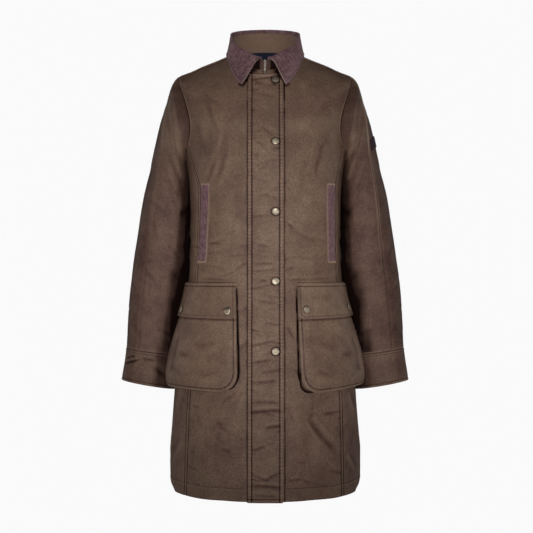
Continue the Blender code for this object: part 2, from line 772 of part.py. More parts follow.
def make_hand_welts():
    for name, side in SIDES.items():
        places = []
        for down in spread(0, 1, 6):
            low = between(WELT_TOP_ANGLES[name][0], WELT_BOTTOM_ANGLES[name][0], down)
            high = between(WELT_TOP_ANGLES[name][1], WELT_BOTTOM_ANGLES[name][1], down)
            height = between(WELT_TOP, WELT_BOTTOM, down)
            places.append([(side * angle, height) for angle in spread(low, high, 3)])
        body_wall(f"hand_welt_{name}", places, CORDUROY, outside=LAY_GAP + WELT_CLOTH, cloth=WELT_CLOTH)


# Press studs


def add_stud(name, seat, out):
    """A domed cap turned from its profile and set square on the cloth, at a seat facing out."""
    shares = [(0.0, 1.0), (0.5, 0.94), (0.82, 0.74), (0.92, 0.78), (1.0, 0.5), (1.0, 0.0), (0.0, 0.0)]
    profile = [Vector((radius * STUD_RADIUS, 0, rise * STUD_THICKNESS)) for radius, rise in shares]
    stud = bmesh.new()
    verts = [stud.verts.new(point) for point in profile]
    edges = [stud.edges.new(pair) for pair in zip(verts, verts[1:])]
    bmesh.ops.spin(
        stud, geom=verts + edges, cent=(0, 0, 0), axis=(0, 0, 1), angle=math.tau, steps=12, use_merge=True
    )
    bmesh.ops.remove_doubles(stud, verts=stud.verts, dist=0.01 * MM)
    bmesh.ops.recalc_face_normals(stud, faces=stud.faces)
    mesh = bpy.data.meshes.new(name)
    stud.to_mesh(mesh)
    stud.free()
    made = add_object(name, mesh, PEWTER)
    turn = out.to_track_quat("Z", "Y").to_matrix().to_4x4()
    made.matrix_world = Matrix.Translation(seat + out * STUD_GAP) @ turn


def make_studs():
    on_flap = SEAM_GAP + DOUBLE_CLOTH
    for count, height in enumerate(FLAP_STUD_HEIGHTS, 1):
        angle = angle_at_width(STUD_ACROSS, height)
        add_stud(f"flap_stud_{count}", on_body(angle, height, on_flap), form_normal(angle, height))
    down = POCKET_STUD_DOWN / POCKET_DEPTH
    for side_name, side in SIDES.items():
        for place, across in POCKET_STUD_INSETS.items():
            near = pocket_grid(
                side_name,
                spread(down - 0.03, down + 0.03, 2),
                spread(across - 0.04, across + 0.04, 2),
                lambda a, d: pocket_stand(d) + CLOTH + LAY_GAP + DOUBLE_CLOTH,
            )
            out = (near[2][1] - near[0][1]).cross(near[1][2] - near[1][0]).normalized() * side
            add_stud(f"pocket_stud_{place}_{side_name}", near[1][1], out)


for old in list(bpy.data.objects):
    bpy.data.objects.remove(old)
COAT = bpy.data.collections.new("wax_jacket")
bpy.context.scene.collection.children.link(COAT)
ORIGIN = bpy.data.objects.new("wax_jacket_origin", None)
COAT.objects.link(ORIGIN)

make_fronts()
make_back()
make_side_panels()
make_sleeves()
make_cuffs()
make_patch()
make_collar_stand()
make_collar_fall()
make_neck_lining()
make_storm_flap()
make_zip()
make_pockets()
make_hand_welts()
make_studs()
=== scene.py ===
# The looks of a waxed cotton coat that keeps the form of an unseen wearer.
# The scene is in metres with the front facing -Y. Tables hold millimetres and degrees.
import math

import bmesh
import bpy
import numpy as np
from mathutils import Matrix, Vector, noise


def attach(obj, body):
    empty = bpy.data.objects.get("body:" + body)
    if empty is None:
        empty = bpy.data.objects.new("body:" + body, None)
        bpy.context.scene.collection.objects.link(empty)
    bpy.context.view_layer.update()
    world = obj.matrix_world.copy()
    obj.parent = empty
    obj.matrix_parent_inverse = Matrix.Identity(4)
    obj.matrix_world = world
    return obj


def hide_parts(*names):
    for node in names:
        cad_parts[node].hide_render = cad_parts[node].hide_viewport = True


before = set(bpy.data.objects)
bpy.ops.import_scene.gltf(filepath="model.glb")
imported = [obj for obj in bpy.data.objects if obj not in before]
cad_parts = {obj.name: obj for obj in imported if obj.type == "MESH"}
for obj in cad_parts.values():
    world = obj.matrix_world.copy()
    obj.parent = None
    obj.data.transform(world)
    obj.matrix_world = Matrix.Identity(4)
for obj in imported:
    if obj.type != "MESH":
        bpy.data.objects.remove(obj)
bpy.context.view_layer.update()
scene = bpy.context.scene
mm = 0.001
sides = {"left": 1, "right": -1}  # the wearer's left is +X
print("frame loaded:", len(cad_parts), "nodes")


def linear(hexColour):
    parts = [int(hexColour[i:i + 2], 16) / 255 for i in (1, 3, 5)]
    return (*(c / 12.92 if c <= 0.04045 else ((c + 0.055) / 1.055) ** 2.4 for c in parts), 1.0)


# Camera, studio light and floor

studio = {
    "cameraPlace": (0.0027, -3.0, -0.442),  # level with the middle of the coat
    "lens": 96.5,
    "background": "#fafafa",
    "ambient": (0.074, 0.066, 0.070, 1.0),  # even light from all round
    "floorColour": "#ededeb",
    "floorHeight": -1.42, "floorGlow": 0.75,
    "floorRadius": 2.0,
    "softboxes": [  # place, aim, width, height, watts, spread
        ((-1.4, -2.0, -0.5), (-0.02, -0.1, -0.42), 0.8, 0.8, 0.5, 36),
        ((1.45, -2.0, -0.5), (0.02, -0.1, -0.42), 0.8, 0.8, 0.5, 36),
        ((0.0, -2.4, -0.36), (0.0, -0.1, -0.42), 0.7, 0.6, 1.6, 30),
        ((0.0, -2.3, 0.3), (0.0, -0.05, 0.07), 0.3, 0.3, 0.1, 9),
        ((-2.7, 0.9, 0.0), (0.0, 0.0, -0.45), 1.2, 1.2, 12, 180),
        ((2.7, 0.9, 0.0), (0.0, 0.0, -0.45), 1.2, 1.2, 12, 180),
        ((0.1, 2.8, 0.0), (0.0, 0.0, -0.45), 1.6, 1.4, 46, 180),
    ],
}


def addCamera():
    data = bpy.data.cameras.new("camera")
    data.lens = studio["lens"]
    data.sensor_width = 36
    camera = bpy.data.objects.new("camera", data)
    camera.location = studio["cameraPlace"]
    camera.rotation_euler = (math.radians(90), 0, 0)
    scene.collection.objects.link(camera)
    scene.camera = camera


def addLights():
    for count, (place, aim, width, height, watts, spread) in enumerate(studio["softboxes"], 1):
        data = bpy.data.lights.new(f"softbox_{count}", "AREA")
        data.shape = "RECTANGLE"
        data.size, data.size_y, data.energy, data.spread = width, height, watts, math.radians(spread)
        box = bpy.data.objects.new(data.name, data)
        box.location = place
        box.rotation_mode = "QUATERNION"
        box.rotation_quaternion = (Vector(aim) - Vector(place)).to_track_quat("-Z", "Y")
        box.visible_camera = False
        scene.collection.objects.link(box)


def addNode(tree, kind, inputs=None, **settings):
    node = tree.nodes.new("ShaderNode" + kind)
    for name, value in settings.items():
        setattr(node, name, value)
    for key, value in (inputs or {}).items():
        if isinstance(value, bpy.types.NodeSocket):
            tree.links.new(value, node.inputs[key])
        else:
            node.inputs[key].default_value = value
    return node


def addWorld():
    world = bpy.data.worlds.new("studio")
    scene.world = world
    world.use_nodes = True
    tree = world.node_tree
    tree.nodes.clear()
    paper = addNode(tree, "Background", {"Color": linear(studio["background"]), "Strength": 1.0})
    room = addNode(tree, "Background", {"Color": studio["ambient"], "Strength": 1.0})
    seen = addNode(tree, "LightPath").outputs["Is Camera Ray"]
    both = addNode(tree, "MixShader", {0: seen, 1: room.outputs[0], 2: paper.outputs[0]})
    addNode(tree, "OutputWorld", {"Surface": both.outputs[0]})
    scene.view_settings.view_transform = "Standard"


def startMaterial(name, sockets):
    made = bpy.data.materials.new(name)
    made.use_nodes = True
    shader = made.node_tree.nodes["Principled BSDF"]
    for key, value in sockets.items():
        shader.inputs[key].default_value = value
    return made, made.node_tree, shader


def addFloor():
    bpy.ops.object.select_all(action="DESELECT")
    bpy.ops.mesh.primitive_circle_add(
        vertices=96, radius=studio["floorRadius"], fill_type="NGON", location=(0, 0, studio["floorHeight"])
    )
    floor = bpy.context.object
    floor.name = "studio_floor"
    # Matt painted board: pale, with hardly any gloss
    made, tree, shader = startMaterial("painted_board", {"Roughness": 0.9, "Specular IOR Level": 0.1})
    for socket in ("Base Color", "Emission Color"):
        shader.inputs[socket].default_value = linear(studio["floorColour"])
    # the lamps miss the floor, so it is shown as if lit
    seen = addNode(tree, "LightPath").outputs["Is Camera Ray"]
    glow = addNode(tree, "Math", {0: seen, 1: studio["floorGlow"]}, operation="MULTIPLY")
    tree.links.new(glow.outputs[0], shader.inputs["Emission Strength"])
    floor.data.materials.append(made)


addCamera()
addLights()
addWorld()
addFloor()
print("camera and studio ready")

# Finishes


def perSize(size):
    return 1 / (size * mm)  # a noise scale that gives marks of this many millimetres


def bandScale(width):
    return 2 * math.pi / 20 / (width * mm)  # a wave scale that gives bands of this many millimetres


waxed = {
    "cloth": "#725d4c",
    "deep": "#59453a",  # where the wax lies thick
    "rubbed": "#96806c",  # where it has been rubbed or folded out, and where a highlight is painted
    "shadeTint": "#f0e5ee",  # the tint that painted shade multiplies into the cloth's own colour
    "shadowAndGroove": "#160c0a",  # painted shadow, and stitched grooves
    "cloudSize": 55,
    "mottleSize": 3,
    "threadSize": 1.3,  # real threads are about 0.4 mm, drawn coarser so that they show
    "crumpleSize": 13,
}


def makeWaxedCotton():
    # Plain-woven cotton proofed with wax: a soft satin sheen, uneven in tone, paler where it is creased. The
    # attribute it reads also carries painted shade, painted shadow and painted highlights
    made, tree, shader = startMaterial("waxed_cotton", {"IOR": 1.46})
    coords = addNode(tree, "TexCoord")
    place, flat = coords.outputs["Object"], coords.outputs["UV"]
    cloud = addNode(tree, "TexNoise", {
        "Vector": place, "Scale": perSize(waxed["cloudSize"]), "Detail": 6.0, "Roughness": 0.72,
    })
    mottle = addNode(tree, "TexNoise", {
        "Vector": place, "Scale": perSize(waxed["mottleSize"]), "Detail": 3.0, "Roughness": 0.7,
    })
    tone = addNode(tree, "MapRange", {"Value": cloud.outputs["Fac"], "From Min": 0.32, "From Max": 0.68})
    cloth = addNode(tree, "Mix", {
        0: tone.outputs["Result"], 6: linear(waxed["deep"]), 7: linear(waxed["cloth"]),
    }, data_type="RGBA")
    fleck = addNode(tree, "MapRange", {
        "Value": mottle.outputs["Fac"], "From Min": 0.3, "From Max": 0.7, "To Min": 0.66, "To Max": 1.34,
    })
    flecked = addNode(tree, "Mix", {
        0: 1.0, 6: cloth.outputs[2], 7: fleck.outputs["Result"],
    }, data_type="RGBA", blend_type="MULTIPLY")
    wearAndShading = addNode(tree, "Attribute", attribute_name="wearAndShading").outputs["Fac"]
    # positive values: rubbed pale cloth, and painted highlights
    rub = addNode(tree, "MapRange", {"Value": wearAndShading, "From Min": 0.0, "From Max": 1.0, "To Max": 0.8})
    rubbed = addNode(tree, "Mix", {
        0: rub.outputs["Result"], 6: flecked.outputs[2], 7: linear(waxed["rubbed"]),
    }, data_type="RGBA")
    # slightly negative values tint the cloth towards the colour of painted shade
    shadeAmount = addNode(tree, "MapRange", {"Value": wearAndShading, "From Min": 0.0, "From Max": -0.25})
    paintedShade = addNode(tree, "Mix", {
        0: shadeAmount.outputs["Result"], 6: rubbed.outputs[2], 7: linear(waxed["shadeTint"]),
    }, data_type="RGBA", blend_type="MULTIPLY")
    # strongly negative values turn it near black: painted shadow, and dark stitched grooves
    darkening = addNode(tree, "MapRange", {"Value": wearAndShading, "From Min": -0.12, "From Max": -1.0, "To Max": 1.0})
    darkened = addNode(tree, "Mix", {
        0: darkening.outputs["Result"], 6: paintedShade.outputs[2], 7: linear(waxed["shadowAndGroove"]),
    }, data_type="RGBA")
    tree.links.new(darkened.outputs[2], shader.inputs["Base Color"])
    # no gloss where shade is painted
    shine = addNode(tree, "MapRange", {
        "Value": wearAndShading, "From Min": 0.0, "From Max": -0.7, "To Min": 0.26, "To Max": 0.03,
    })
    tree.links.new(shine.outputs["Result"], shader.inputs["Specular IOR Level"])
    gloss = addNode(tree, "MapRange", {
        "Value": cloud.outputs["Fac"], "From Min": 0.3, "From Max": 0.7, "To Min": 0.7, "To Max": 0.54,
    })
    tree.links.new(gloss.outputs["Result"], shader.inputs["Roughness"])
    threads = {"Vector": flat, "Scale": bandScale(waxed["threadSize"])}
    warp, weft = (addNode(tree, "TexWave", threads, bands_direction=way).outputs["Fac"] for way in "XY")
    weave = addNode(tree, "Math", {0: warp, 1: weft}, operation="MULTIPLY")
    last = addNode(tree, "Bump", {"Height": weave.outputs[0], "Strength": 0.2, "Distance": 0.25 * mm})
    wrinkle = addNode(tree, "TexNoise", {
        "Vector": place, "Scale": perSize(waxed["crumpleSize"]), "Detail": 4.0, "Roughness": 0.6,
    })
    last = addNode(tree, "Bump", {
        "Height": wrinkle.outputs["Fac"], "Strength": 0.6, "Distance": 2.0 * mm, "Normal": last.outputs[0],
    })
    tree.links.new(last.outputs[0], shader.inputs["Normal"])
    return made


corduroy = {
    "rib": "#6a4c50",
    "valley": "#3c2a2e",
    "bloom": "#98777a",  # pale nap where the light catches it
    "rubbed": "#94787a", "sheen": "#b89aa0",
    "ribWidth": 2.4,  # needlecord is about 1.6 mm, drawn coarser so that it shows
    "napSize": 5,
    "napStretch": 0.35,  # brushed along the ribs
    "tuftSize": 9,  # the nap lies in tufts of this size
}


def makeCorduroy():
    # Cotton needlecord: soft cut-pile ribs with dark valleys, and a dusty bloom on the nap
    made, tree, shader = startMaterial("cotton_corduroy", {
        "Roughness": 0.92, "Specular IOR Level": 0.2, "Sheen Weight": 0.28, "Sheen Roughness": 0.45,
        "Sheen Tint": linear(corduroy["sheen"]),
    })
    coords = addNode(tree, "TexCoord")
    ribs = addNode(tree, "TexWave", {
        "Vector": coords.outputs["UV"], "Scale": bandScale(corduroy["ribWidth"]), "Distortion": 0.3,
        "Detail Scale": 2.0,
    }, bands_direction="X")
    stretch = (1, corduroy["napStretch"], 1)
    drawn = addNode(tree, "Mapping", {"Vector": coords.outputs["UV"], "Scale": stretch})
    nap = addNode(tree, "TexNoise", {
        "Vector": drawn.outputs[0], "Scale": perSize(corduroy["napSize"]), "Detail": 5.0, "Roughness": 0.75,
    })
    pile = addNode(tree, "Mix", {
        0: ribs.outputs["Fac"], 6: linear(corduroy["valley"]), 7: linear(corduroy["rib"]),
    }, data_type="RGBA")
    dusty = addNode(tree, "MapRange", {
        "Value": nap.outputs["Fac"], "From Min": 0.42, "From Max": 0.72, "To Max": 0.6,
    })
    bloom = addNode(tree, "Mix", {
        0: dusty.outputs["Result"], 6: pile.outputs[2], 7: linear(corduroy["bloom"]),
    }, data_type="RGBA")
    tufts = addNode(tree, "TexNoise", {
        "Vector": coords.outputs["Object"], "Scale": perSize(corduroy["tuftSize"]), "Detail": 2.0,
    })
    lie = addNode(tree, "MapRange", {
        "Value": tufts.outputs["Fac"], "From Min": 0.32, "From Max": 0.68, "To Min": 0.74, "To Max": 1.26,
    })
    tufted = addNode(tree, "Mix", {
        0: 1.0, 6: bloom.outputs[2], 7: lie.outputs["Result"],
    }, data_type="RGBA", blend_type="MULTIPLY")
    wearAndShading = addNode(tree, "Attribute", attribute_name="wearAndShading").outputs["Fac"]
    rub = addNode(tree, "MapRange", {"Value": wearAndShading, "To Max": 0.6})
    toned = addNode(tree, "Mix", {
        0: rub.outputs["Result"], 6: tufted.outputs[2], 7: linear(corduroy["rubbed"]),
    }, data_type="RGBA")
    # negative values darken towards the valley colour: painted shade on the collar, and stitched grooves
    shadeAmount = addNode(tree, "MapRange", {"Value": wearAndShading, "From Min": 0.0, "From Max": -1.0})
    paintedShade = addNode(tree, "Mix", {
        0: shadeAmount.outputs["Result"], 6: toned.outputs[2], 7: linear(corduroy["valley"]),
    }, data_type="RGBA")
    tree.links.new(paintedShade.outputs[2], shader.inputs["Base Color"])
    raised = addNode(tree, "Bump", {"Height": ribs.outputs["Fac"], "Strength": 0.7, "Distance": 0.5 * mm})
    fuzzy = addNode(tree, "Bump", {
        "Height": nap.outputs["Fac"], "Strength": 0.35, "Distance": 0.8 * mm, "Normal": raised.outputs[0],
    })
    tree.links.new(fuzzy.outputs[0], shader.inputs["Normal"])
    return made


def makeWoven(name, yarn, gap, thread, roughness, sheen):
    # A woven cloth: one set of diagonal threads, a little uneven in colour
    made, tree, shader = startMaterial(name, {
        "Roughness": roughness, "Specular IOR Level": 0.25, "Sheen Weight": sheen,
    })
    coords = addNode(tree, "TexCoord")
    turned = addNode(tree, "Mapping", {
        "Vector": coords.outputs["UV"], "Rotation": (0, 0, math.radians(40)),
    })
    twill = addNode(tree, "TexWave", {
        "Vector": turned.outputs[0], "Scale": bandScale(thread),
    }, bands_direction="X")
    cloud = addNode(tree, "TexNoise", {
        "Vector": coords.outputs["Object"], "Scale": perSize(12), "Detail": 4.0, "Roughness": 0.65,
    })
    drawn = addNode(tree, "Math", {0: twill.outputs["Fac"], 1: cloud.outputs["Fac"]}, operation="ADD")
    amount = addNode(tree, "MapRange", {"Value": drawn.outputs[0], "From Min": 0.3, "From Max": 1.6})
    cloth = addNode(tree, "Mix", {
        0: amount.outputs["Result"], 6: linear(gap), 7: linear(yarn),
    }, data_type="RGBA")
    tree.links.new(cloth.outputs[2], shader.inputs["Base Color"])
    raised = addNode(tree, "Bump", {"Height": twill.outputs["Fac"], "Strength": 0.4, "Distance": 0.3 * mm})
    tree.links.new(raised.outputs[0], shader.inputs["Normal"])
    return made


def makeMetal(name, bright, dull, roughness, spotSize):
    # Plated and tumbled metal: bright on the crown, tarnished in patches
    made, tree, shader = startMaterial(name, {"Metallic": 1.0})
    place = addNode(tree, "TexCoord").outputs["Object"]
    spots = addNode(tree, "TexNoise", {"Vector": place, "Scale": perSize(spotSize), "Detail": 4.0})
    tarnish = addNode(tree, "MapRange", {"Value": spots.outputs["Fac"], "From Min": 0.35, "From Max": 0.65})
    plate = addNode(tree, "Mix", {
        0: tarnish.outputs["Result"], 6: linear(dull), 7: linear(bright),
    }, data_type="RGBA")
    tree.links.new(plate.outputs[2], shader.inputs["Base Color"])
    gloss = addNode(tree, "MapRange", {
        "Value": spots.outputs["Fac"], "To Min": roughness + 0.1, "To Max": roughness - 0.08,
    })
    tree.links.new(gloss.outputs["Result"], shader.inputs["Roughness"])
    return made


def makeThread(name, bright, dark):
    # Spun polyester thread: matt, a little lighter along each twist
    made, tree, shader = startMaterial(name, {"Roughness": 0.7, "Specular IOR Level": 0.3})
    place = addNode(tree, "TexCoord").outputs["Object"]
    twist = addNode(tree, "TexNoise", {"Vector": place, "Scale": perSize(1.2), "Detail": 2.0})
    plies = {0: twist.outputs["Fac"], 6: linear(dark), 7: linear(bright)}
    ply = addNode(tree, "Mix", plies, data_type="RGBA")
    tree.links.new(ply.outputs[2], shader.inputs["Base Color"])
    return made


finish = {
    "waxed": makeWaxedCotton(),
    "corduroy": makeCorduroy(),
    "drill": makeWoven("cotton_drill", "#806756", "#624e3f", 1.6, 0.85, 0.1),  # threads drawn coarse to show
    "lining": makeWoven("navy_lining", "#212940", "#131825", 1.2, 0.6, 0.1),
    "patch": makeWoven("woven_patch", "#3a2630", "#22151b", 1.4, 0.8, 0.0),
    "tape": makeWoven("zip_tape", "#6e5848", "#54433a", 1.2, 0.8, 0.0),
    "pewter": makeMetal("antiqued_pewter", "#aea28f", "#7d7262", 0.48, 4),
    # dark pewter for the studs' rims, as painted shade round each cap's edge
    "tarnish": makeMetal("rim_shade_pewter", "#453c33", "#2c2520", 0.6, 5),
    "nickel": makeMetal("nickel_silver", "#e8e4da", "#b5afa2", 0.35, 2),
    "thread": makeThread("dark_thread", "#3d2f29", "#261c18"),
    "tanThread": makeThread("tan_thread", "#a8927a", "#7d6956"),
    "creamThread": makeThread("cream_thread", "#bcb09a", "#94866f"),
}
print("finishes ready:", len(finish))

# Curves through tables


def curveAt(knots, values, at):
    # the smooth curve through these values, straight past both ends
    knots, values, at = (np.asarray(item, float) for item in (knots, values, at))
    if knots[0] > knots[-1]:
        knots, values = knots[::-1], values[::-1]
    wide = (1,) * (values.ndim - 1)
    steps = np.diff(values, axis=0) / np.diff(knots).reshape(-1, *wide)
    before, after = steps[:-1], steps[1:]
    total = np.where(before + after == 0, 1, before + after)
    inside = np.where(before * after > 0, 2 * before * after / total, 0)
    slope = np.concatenate([steps[:1], inside, steps[-1:]])
    held = np.clip(at, knots[0], knots[-1])
    i = np.clip(np.searchsorted(knots, held, side="right") - 1, 0, len(knots) - 2)
    span = np.reshape(knots[i + 1] - knots[i], at.shape + wide)
    t = np.reshape(held - knots[i], at.shape + wide) / span
    rise = values[i + 1] - values[i]
    bend = (1 - t) * (slope[i] * span - rise) + t * (rise - slope[i + 1] * span)
    past = np.reshape(at - held, at.shape + wide)
    end = np.where(past < 0, slope[0], slope[-1])
    return values[i] + t * rise + t * (1 - t) * bend + past * end


def ease(share):
    share = np.clip(share, 0, 1)
    return share * share * (3 - 2 * share)


def bell(away, width):
    return np.exp(-(away / width) ** 2)


def unit(vectors):
    return vectors / np.maximum(np.linalg.norm(vectors, axis=-1, keepdims=True), 1e-12)


def lifted(points, normals, out):
    # points moved out along their normals by this many millimetres
    return points + normals * np.asarray(out)[..., None] * mm


def cornerCut(radius, above):
    # how far a rounded corner draws the edge in, this far above its end
    level = radius - np.clip(above, 0, radius)
    return radius - np.sqrt(np.maximum(radius ** 2 - level ** 2, 0))


def cloudy(points, size, seed, stretch=1.0):
    # soft uneven noise at points in metres, from -1 to 1, longer up and down by stretch
    scaled = points / (np.array([size, size, size * stretch]) * mm) + seed * 17.3
    return np.array([noise.noise(p) for p in scaled.reshape(-1, 3).tolist()]).reshape(points.shape[:-1])


def scatterCreases(seed, groups):
    # short creases strewn over an area, leaning the other way on the other side of the middle
    dice = np.random.default_rng(seed)
    made = []
    for count, (x0, x1), (z0, z1), lean, spread, lengths, widths, depths in groups:
        for k in range(count):
            x, z = dice.uniform(x0, x1), dice.uniform(z0, z1)
            turn = math.radians(dice.normal(lean, spread)) * (1 if x > 0 else -1)
            length, width, depth = (dice.uniform(*pair) for pair in (lengths, widths, depths))
            dx, dz = length / 2 * math.cos(turn), length / 2 * math.sin(turn)
            made.append((x - dx, z - dz, x + dx, z + dz, width, -depth, dice.normal(0, length / 16)))
    return made


creaseShape = {"fade": 0.6, "roll": 0.4, "rollPlace": 2.1, "rollWidth": 1.1}  # a smaller roll lies beside it


def creaseRelief(across, down, creases, sharp=None):
    # troughs (depth below 0) and ridges; those wider than sharp are played down
    total = np.zeros(np.broadcast(across, down).shape)
    for x0, z0, x1, z1, width, depth, bow in creases:
        run = math.hypot(x1 - x0, z1 - z0)
        ux, uz = (x1 - x0) / run, (z1 - z0) / run
        dx, dz = across - (x0 + x1) / 2, down - (z0 + z1) / 2
        along = (dx * ux + dz * uz) / (run / 2)
        away = (dz * ux - dx * uz - bow * (1 - along ** 2)) / width
        played = min(1, (sharp / width) ** 1.5) if sharp else 1
        fade = ease((1 - np.abs(along)) / creaseShape["fade"]) * played
        roll = creaseShape["roll"] * bell(away - creaseShape["rollPlace"], creaseShape["rollWidth"])
        total += depth * fade * (np.exp(-np.abs(away) ** 1.5) - roll)
    return total


# The worn form of the body, as the solids have it

bodyForm = {
    "rows": np.array([  # height, half width, front depth, back depth, front drop, back rise, fullness
        (0, 72, 78, 62, 40, 22, 0.00), (-12, 100, 86, 70, 43, 24, 0.00), (-26, 137, 94, 80, 46, 25, 0.00),
        (-36, 159, 98.6, 86, 47.2, 24.6, 0.00), (-44, 182, 103, 91, 48, 24, 0.00),
        (-80, 180, 112, 100, 40, 19, 0.00), (-125, 174, 121, 108, 27, 11, 0.00),
        (-165, 168, 128, 113, 14, 5, 0.01), (-206, 166, 133, 115, 6, 2, 0.02),
        (-230, 164.5, 134, 115, 4, 1, 0.02), (-262, 160, 135, 114, 2, 0, 0.03),
        (-330, 157, 128, 110, 0, 0, 0.03), (-390, 157, 122, 108, 0, 0, 0.03),
        (-450, 159, 124, 114, 0, 0, 0.03), (-520, 168, 134, 126, 1, 0, 0.03),
        (-600, 180, 145, 136, 3, 0, 0.03), (-700, 190, 154, 143, 5, 0, 0.03),
        (-800, 194.5, 160, 147, 7, 0, 0.03), (-930, 198, 165, 150, 10, 0, 0.03),
    ], float),
    "folds": [  # angle, lean, top, bottom, spread, depth
        (-38, -8, -690, -1060, 7, 6.0), (-24, -5, -700, -1060, 5, -4.5), (28, 6, -690, -1060, 6, -5.0),
        (42, 6, -700, -1060, 6, 6.0), (-34, 10, -140, -330, 5, -2.5), (36, -8, -150, -330, 5, -2.5),
        (-84, -4, -690, -1060, 7, 5.0), (84, 4, -690, -1060, 7, 5.0), (118, 4, -480, -980, 9, -5.0),
        (-118, -4, -480, -980, 9, -5.0), (150, 6, -450, -980, 9, 6.0), (-150, -6, -450, -980, 9, 6.0),
        (178, 3, -430, -980, 9, -5.0), (152, -14, -250, -430, 7, -3.0), (-152, 14, -250, -430, 7, -3.0),
    ],
    "shoulder": -44 * mm, "underarm": -206 * mm, "princessTop": -190 * mm, "hem": -901 * mm,
    "armholeFront": 26, "armholeBack": 30,
    "rounding": (30, 30, 125, 50),  # of the shoulder: reach, where it begins and ends below the neck, fade
    "seams": np.array([  # height, left front seam, right front seam, back seams
        (-190, 74.5, 74.5, 107.9), (-235, 69, 65, 118), (-280, 66, 57.5, 121), (-340, 67.5, 59, 119),
        (-430, 69, 61.5, 118), (-520, 62, 58.5, 121), (-700, 52.6, 53.8, 124), (-930, 51.4, 54.6, 126),
    ], float),
    "seamColumn": {"left": 1, "right": 2, "back": 3},
    "cloth": 1.6, "doubleCloth": 2.4, "seamGap": 0.3, "layGap": 0.9, "armholeGap": 0.75,
}

# Creases of the worn coat, each from end to end: across and height, across and height, half width, depth, bow
bodyCreases = {
    "front": [
        (-96, -196, -124, -284, 4.0, -1.6, 3), (-84, -158, -112, -246, 4.5, 1.6, 2),
        (-76, -186, -106, -286, 4.5, -1.3, 4), (-60, -108, -90, -190, 8, -0.7, 0),
        (-140, -140, -120, -214, 5, -1.1, -3), (-46, -240, -62, -330, 8, -0.5, 0),
        (134, -104, 112, -146, 7, -1.0, 0), (122, -180, 98, -270, 5, -1.2, -3),
        (110, -166, 86, -246, 5, 1.1, -2), (84, -210, 72, -296, 6, -0.7, 0),
        (136, -150, 110, -214, 5, -0.9, 3), (42, -350, 60, -370, 2.6, -1.8, 0),
        (42, -281, 54, -290, 2.4, -1.4, 0), (-66, -453, -34, -431, 2.6, -1.4, 0),
        (-90, -463, -58, -451, 2.6, -1.2, 0), (44, -470, 74, -465, 2.4, -1.4, 0),
        (41, -452, 62, -440, 2.6, -1.2, 0), (-112, -440, -72, -452, 3, -1.0, 0),
        (-136, -467, -62, -471, 2.2, -1.5, 1), (48, -470, 150, -466, 2.2, -1.5, 1),
        (56, -372, 112, -398, 3, -1.0, 2), (-128, -402, -70, -386, 3, -0.9, 2),
        (40, -556, 63, -594, 4, -1.6, 0), (-53, -612, -33, -586, 4, -1.4, 0),
        (-50, -540, -36, -520, 4, -1.0, 0), (-66, -694, -78, -747, 7, -1.2, 0),
        (-90, -747, -105, -815, 8, -1.3, 3), (-55, -747, -67, -815, 10, 1.2, 0),
        (-52, -688, -94, -718, 3.4, -1.1, 2), (-42, -685, -66, -726, 4, -1.0, 0),
        (-150, -723, -130, -728, 2.6, -1.2, 0), (-161, -846, -134, -853, 2.6, -1.2, 0),
        (-58, -800, -48, -880, 7, -0.8, 0), (80, -738, 147, -816, 5.2, -2.4, -4),
        (76, -738, 114, -796, 5, 1.6, -3), (122, -786, 147, -828, 6, -1.3, 0),
        (114, -739, 154, -735, 2.5, -1.9, 0), (75, -774, 88, -828, 8, -1.1, 0),
        (63, -738, 81, -815, 9, 1.1, 0), (42, -870, 76, -867, 2.6, -1.8, 1),
        (75, -867, 92, -878, 2.6, -1.2, 0), (128, -850, 160, -862, 3, -1.1, 0),
        (166, -694, 182, -743, 3.2, 2.2, 0), (163, -819, 185, -864, 3.2, 2.2, 0),
        (-187, -840, -167, -790, 3.6, 1.8, 0), (-172, -690, -184, -740, 4, 1.4, 0),
        (44, -712, 58, -760, 5, -0.9, 0), (-140, -790, -150, -850, 5, -0.8, 0),
    ],
    "back": [
        (-130, -176, -84, -262, 9, -2.2, 4), (132, -168, 82, -258, 9, -2.2, -4),
        (-44, -300, 36, -330, 9, -1.6, 0), (-112, -418, -20, -442, 8, -2.2, 3),
        (18, -432, 112, -408, 8, -2.0, -3), (-92, -474, -28, -456, 7, -1.5, 0),
        (30, -486, 98, -462, 7, -1.6, 0), (-60, -640, -76, -826, 14, -2.6, 0),
        (52, -600, 68, -806, 14, -2.4, 0), (2, -700, 8, -866, 12, 2.0, 0),
        (-130, -560, -120, -640, 10, -1.6, 0), (120, -580, 132, -660, 10, -1.6, 0),
        (-30, -110, -70, -160, 12, -1.4, 0), (40, -120, 76, -170, 12, -1.4, 0),
        (-120, -340, -90, -392, 7, -1.4, 0), (100, -350, 124, -300, 7, -1.4, 0),
        (-110, -850, -70, -862, 5, -1.2, 0), (70, -842, 112, -858, 5, -1.3, 0),
    ],
    "side": [  # across is the angle in degrees, taken the same on both sides
        (84, -250, 104, -300, 7, -1.8, 0), (76, -380, 110, -410, 7, -2.0, 0),
        (80, -430, 112, -452, 7, -1.6, 0), (92, -560, 98, -720, 9, -1.8, 0),
        (104, -700, 96, -840, 10, 1.6, 0), (70, -780, 84, -850, 8, -1.5, 0),
    ],
    "sideSpan": 3.0,  # millimetres of cloth for each degree round the side
    "sway": [(95, 1.2, 1.6), (38, 0.6, 1.3), (15, 0.25, 1.0)],  # size, depth, stretch of the uneven lie
}

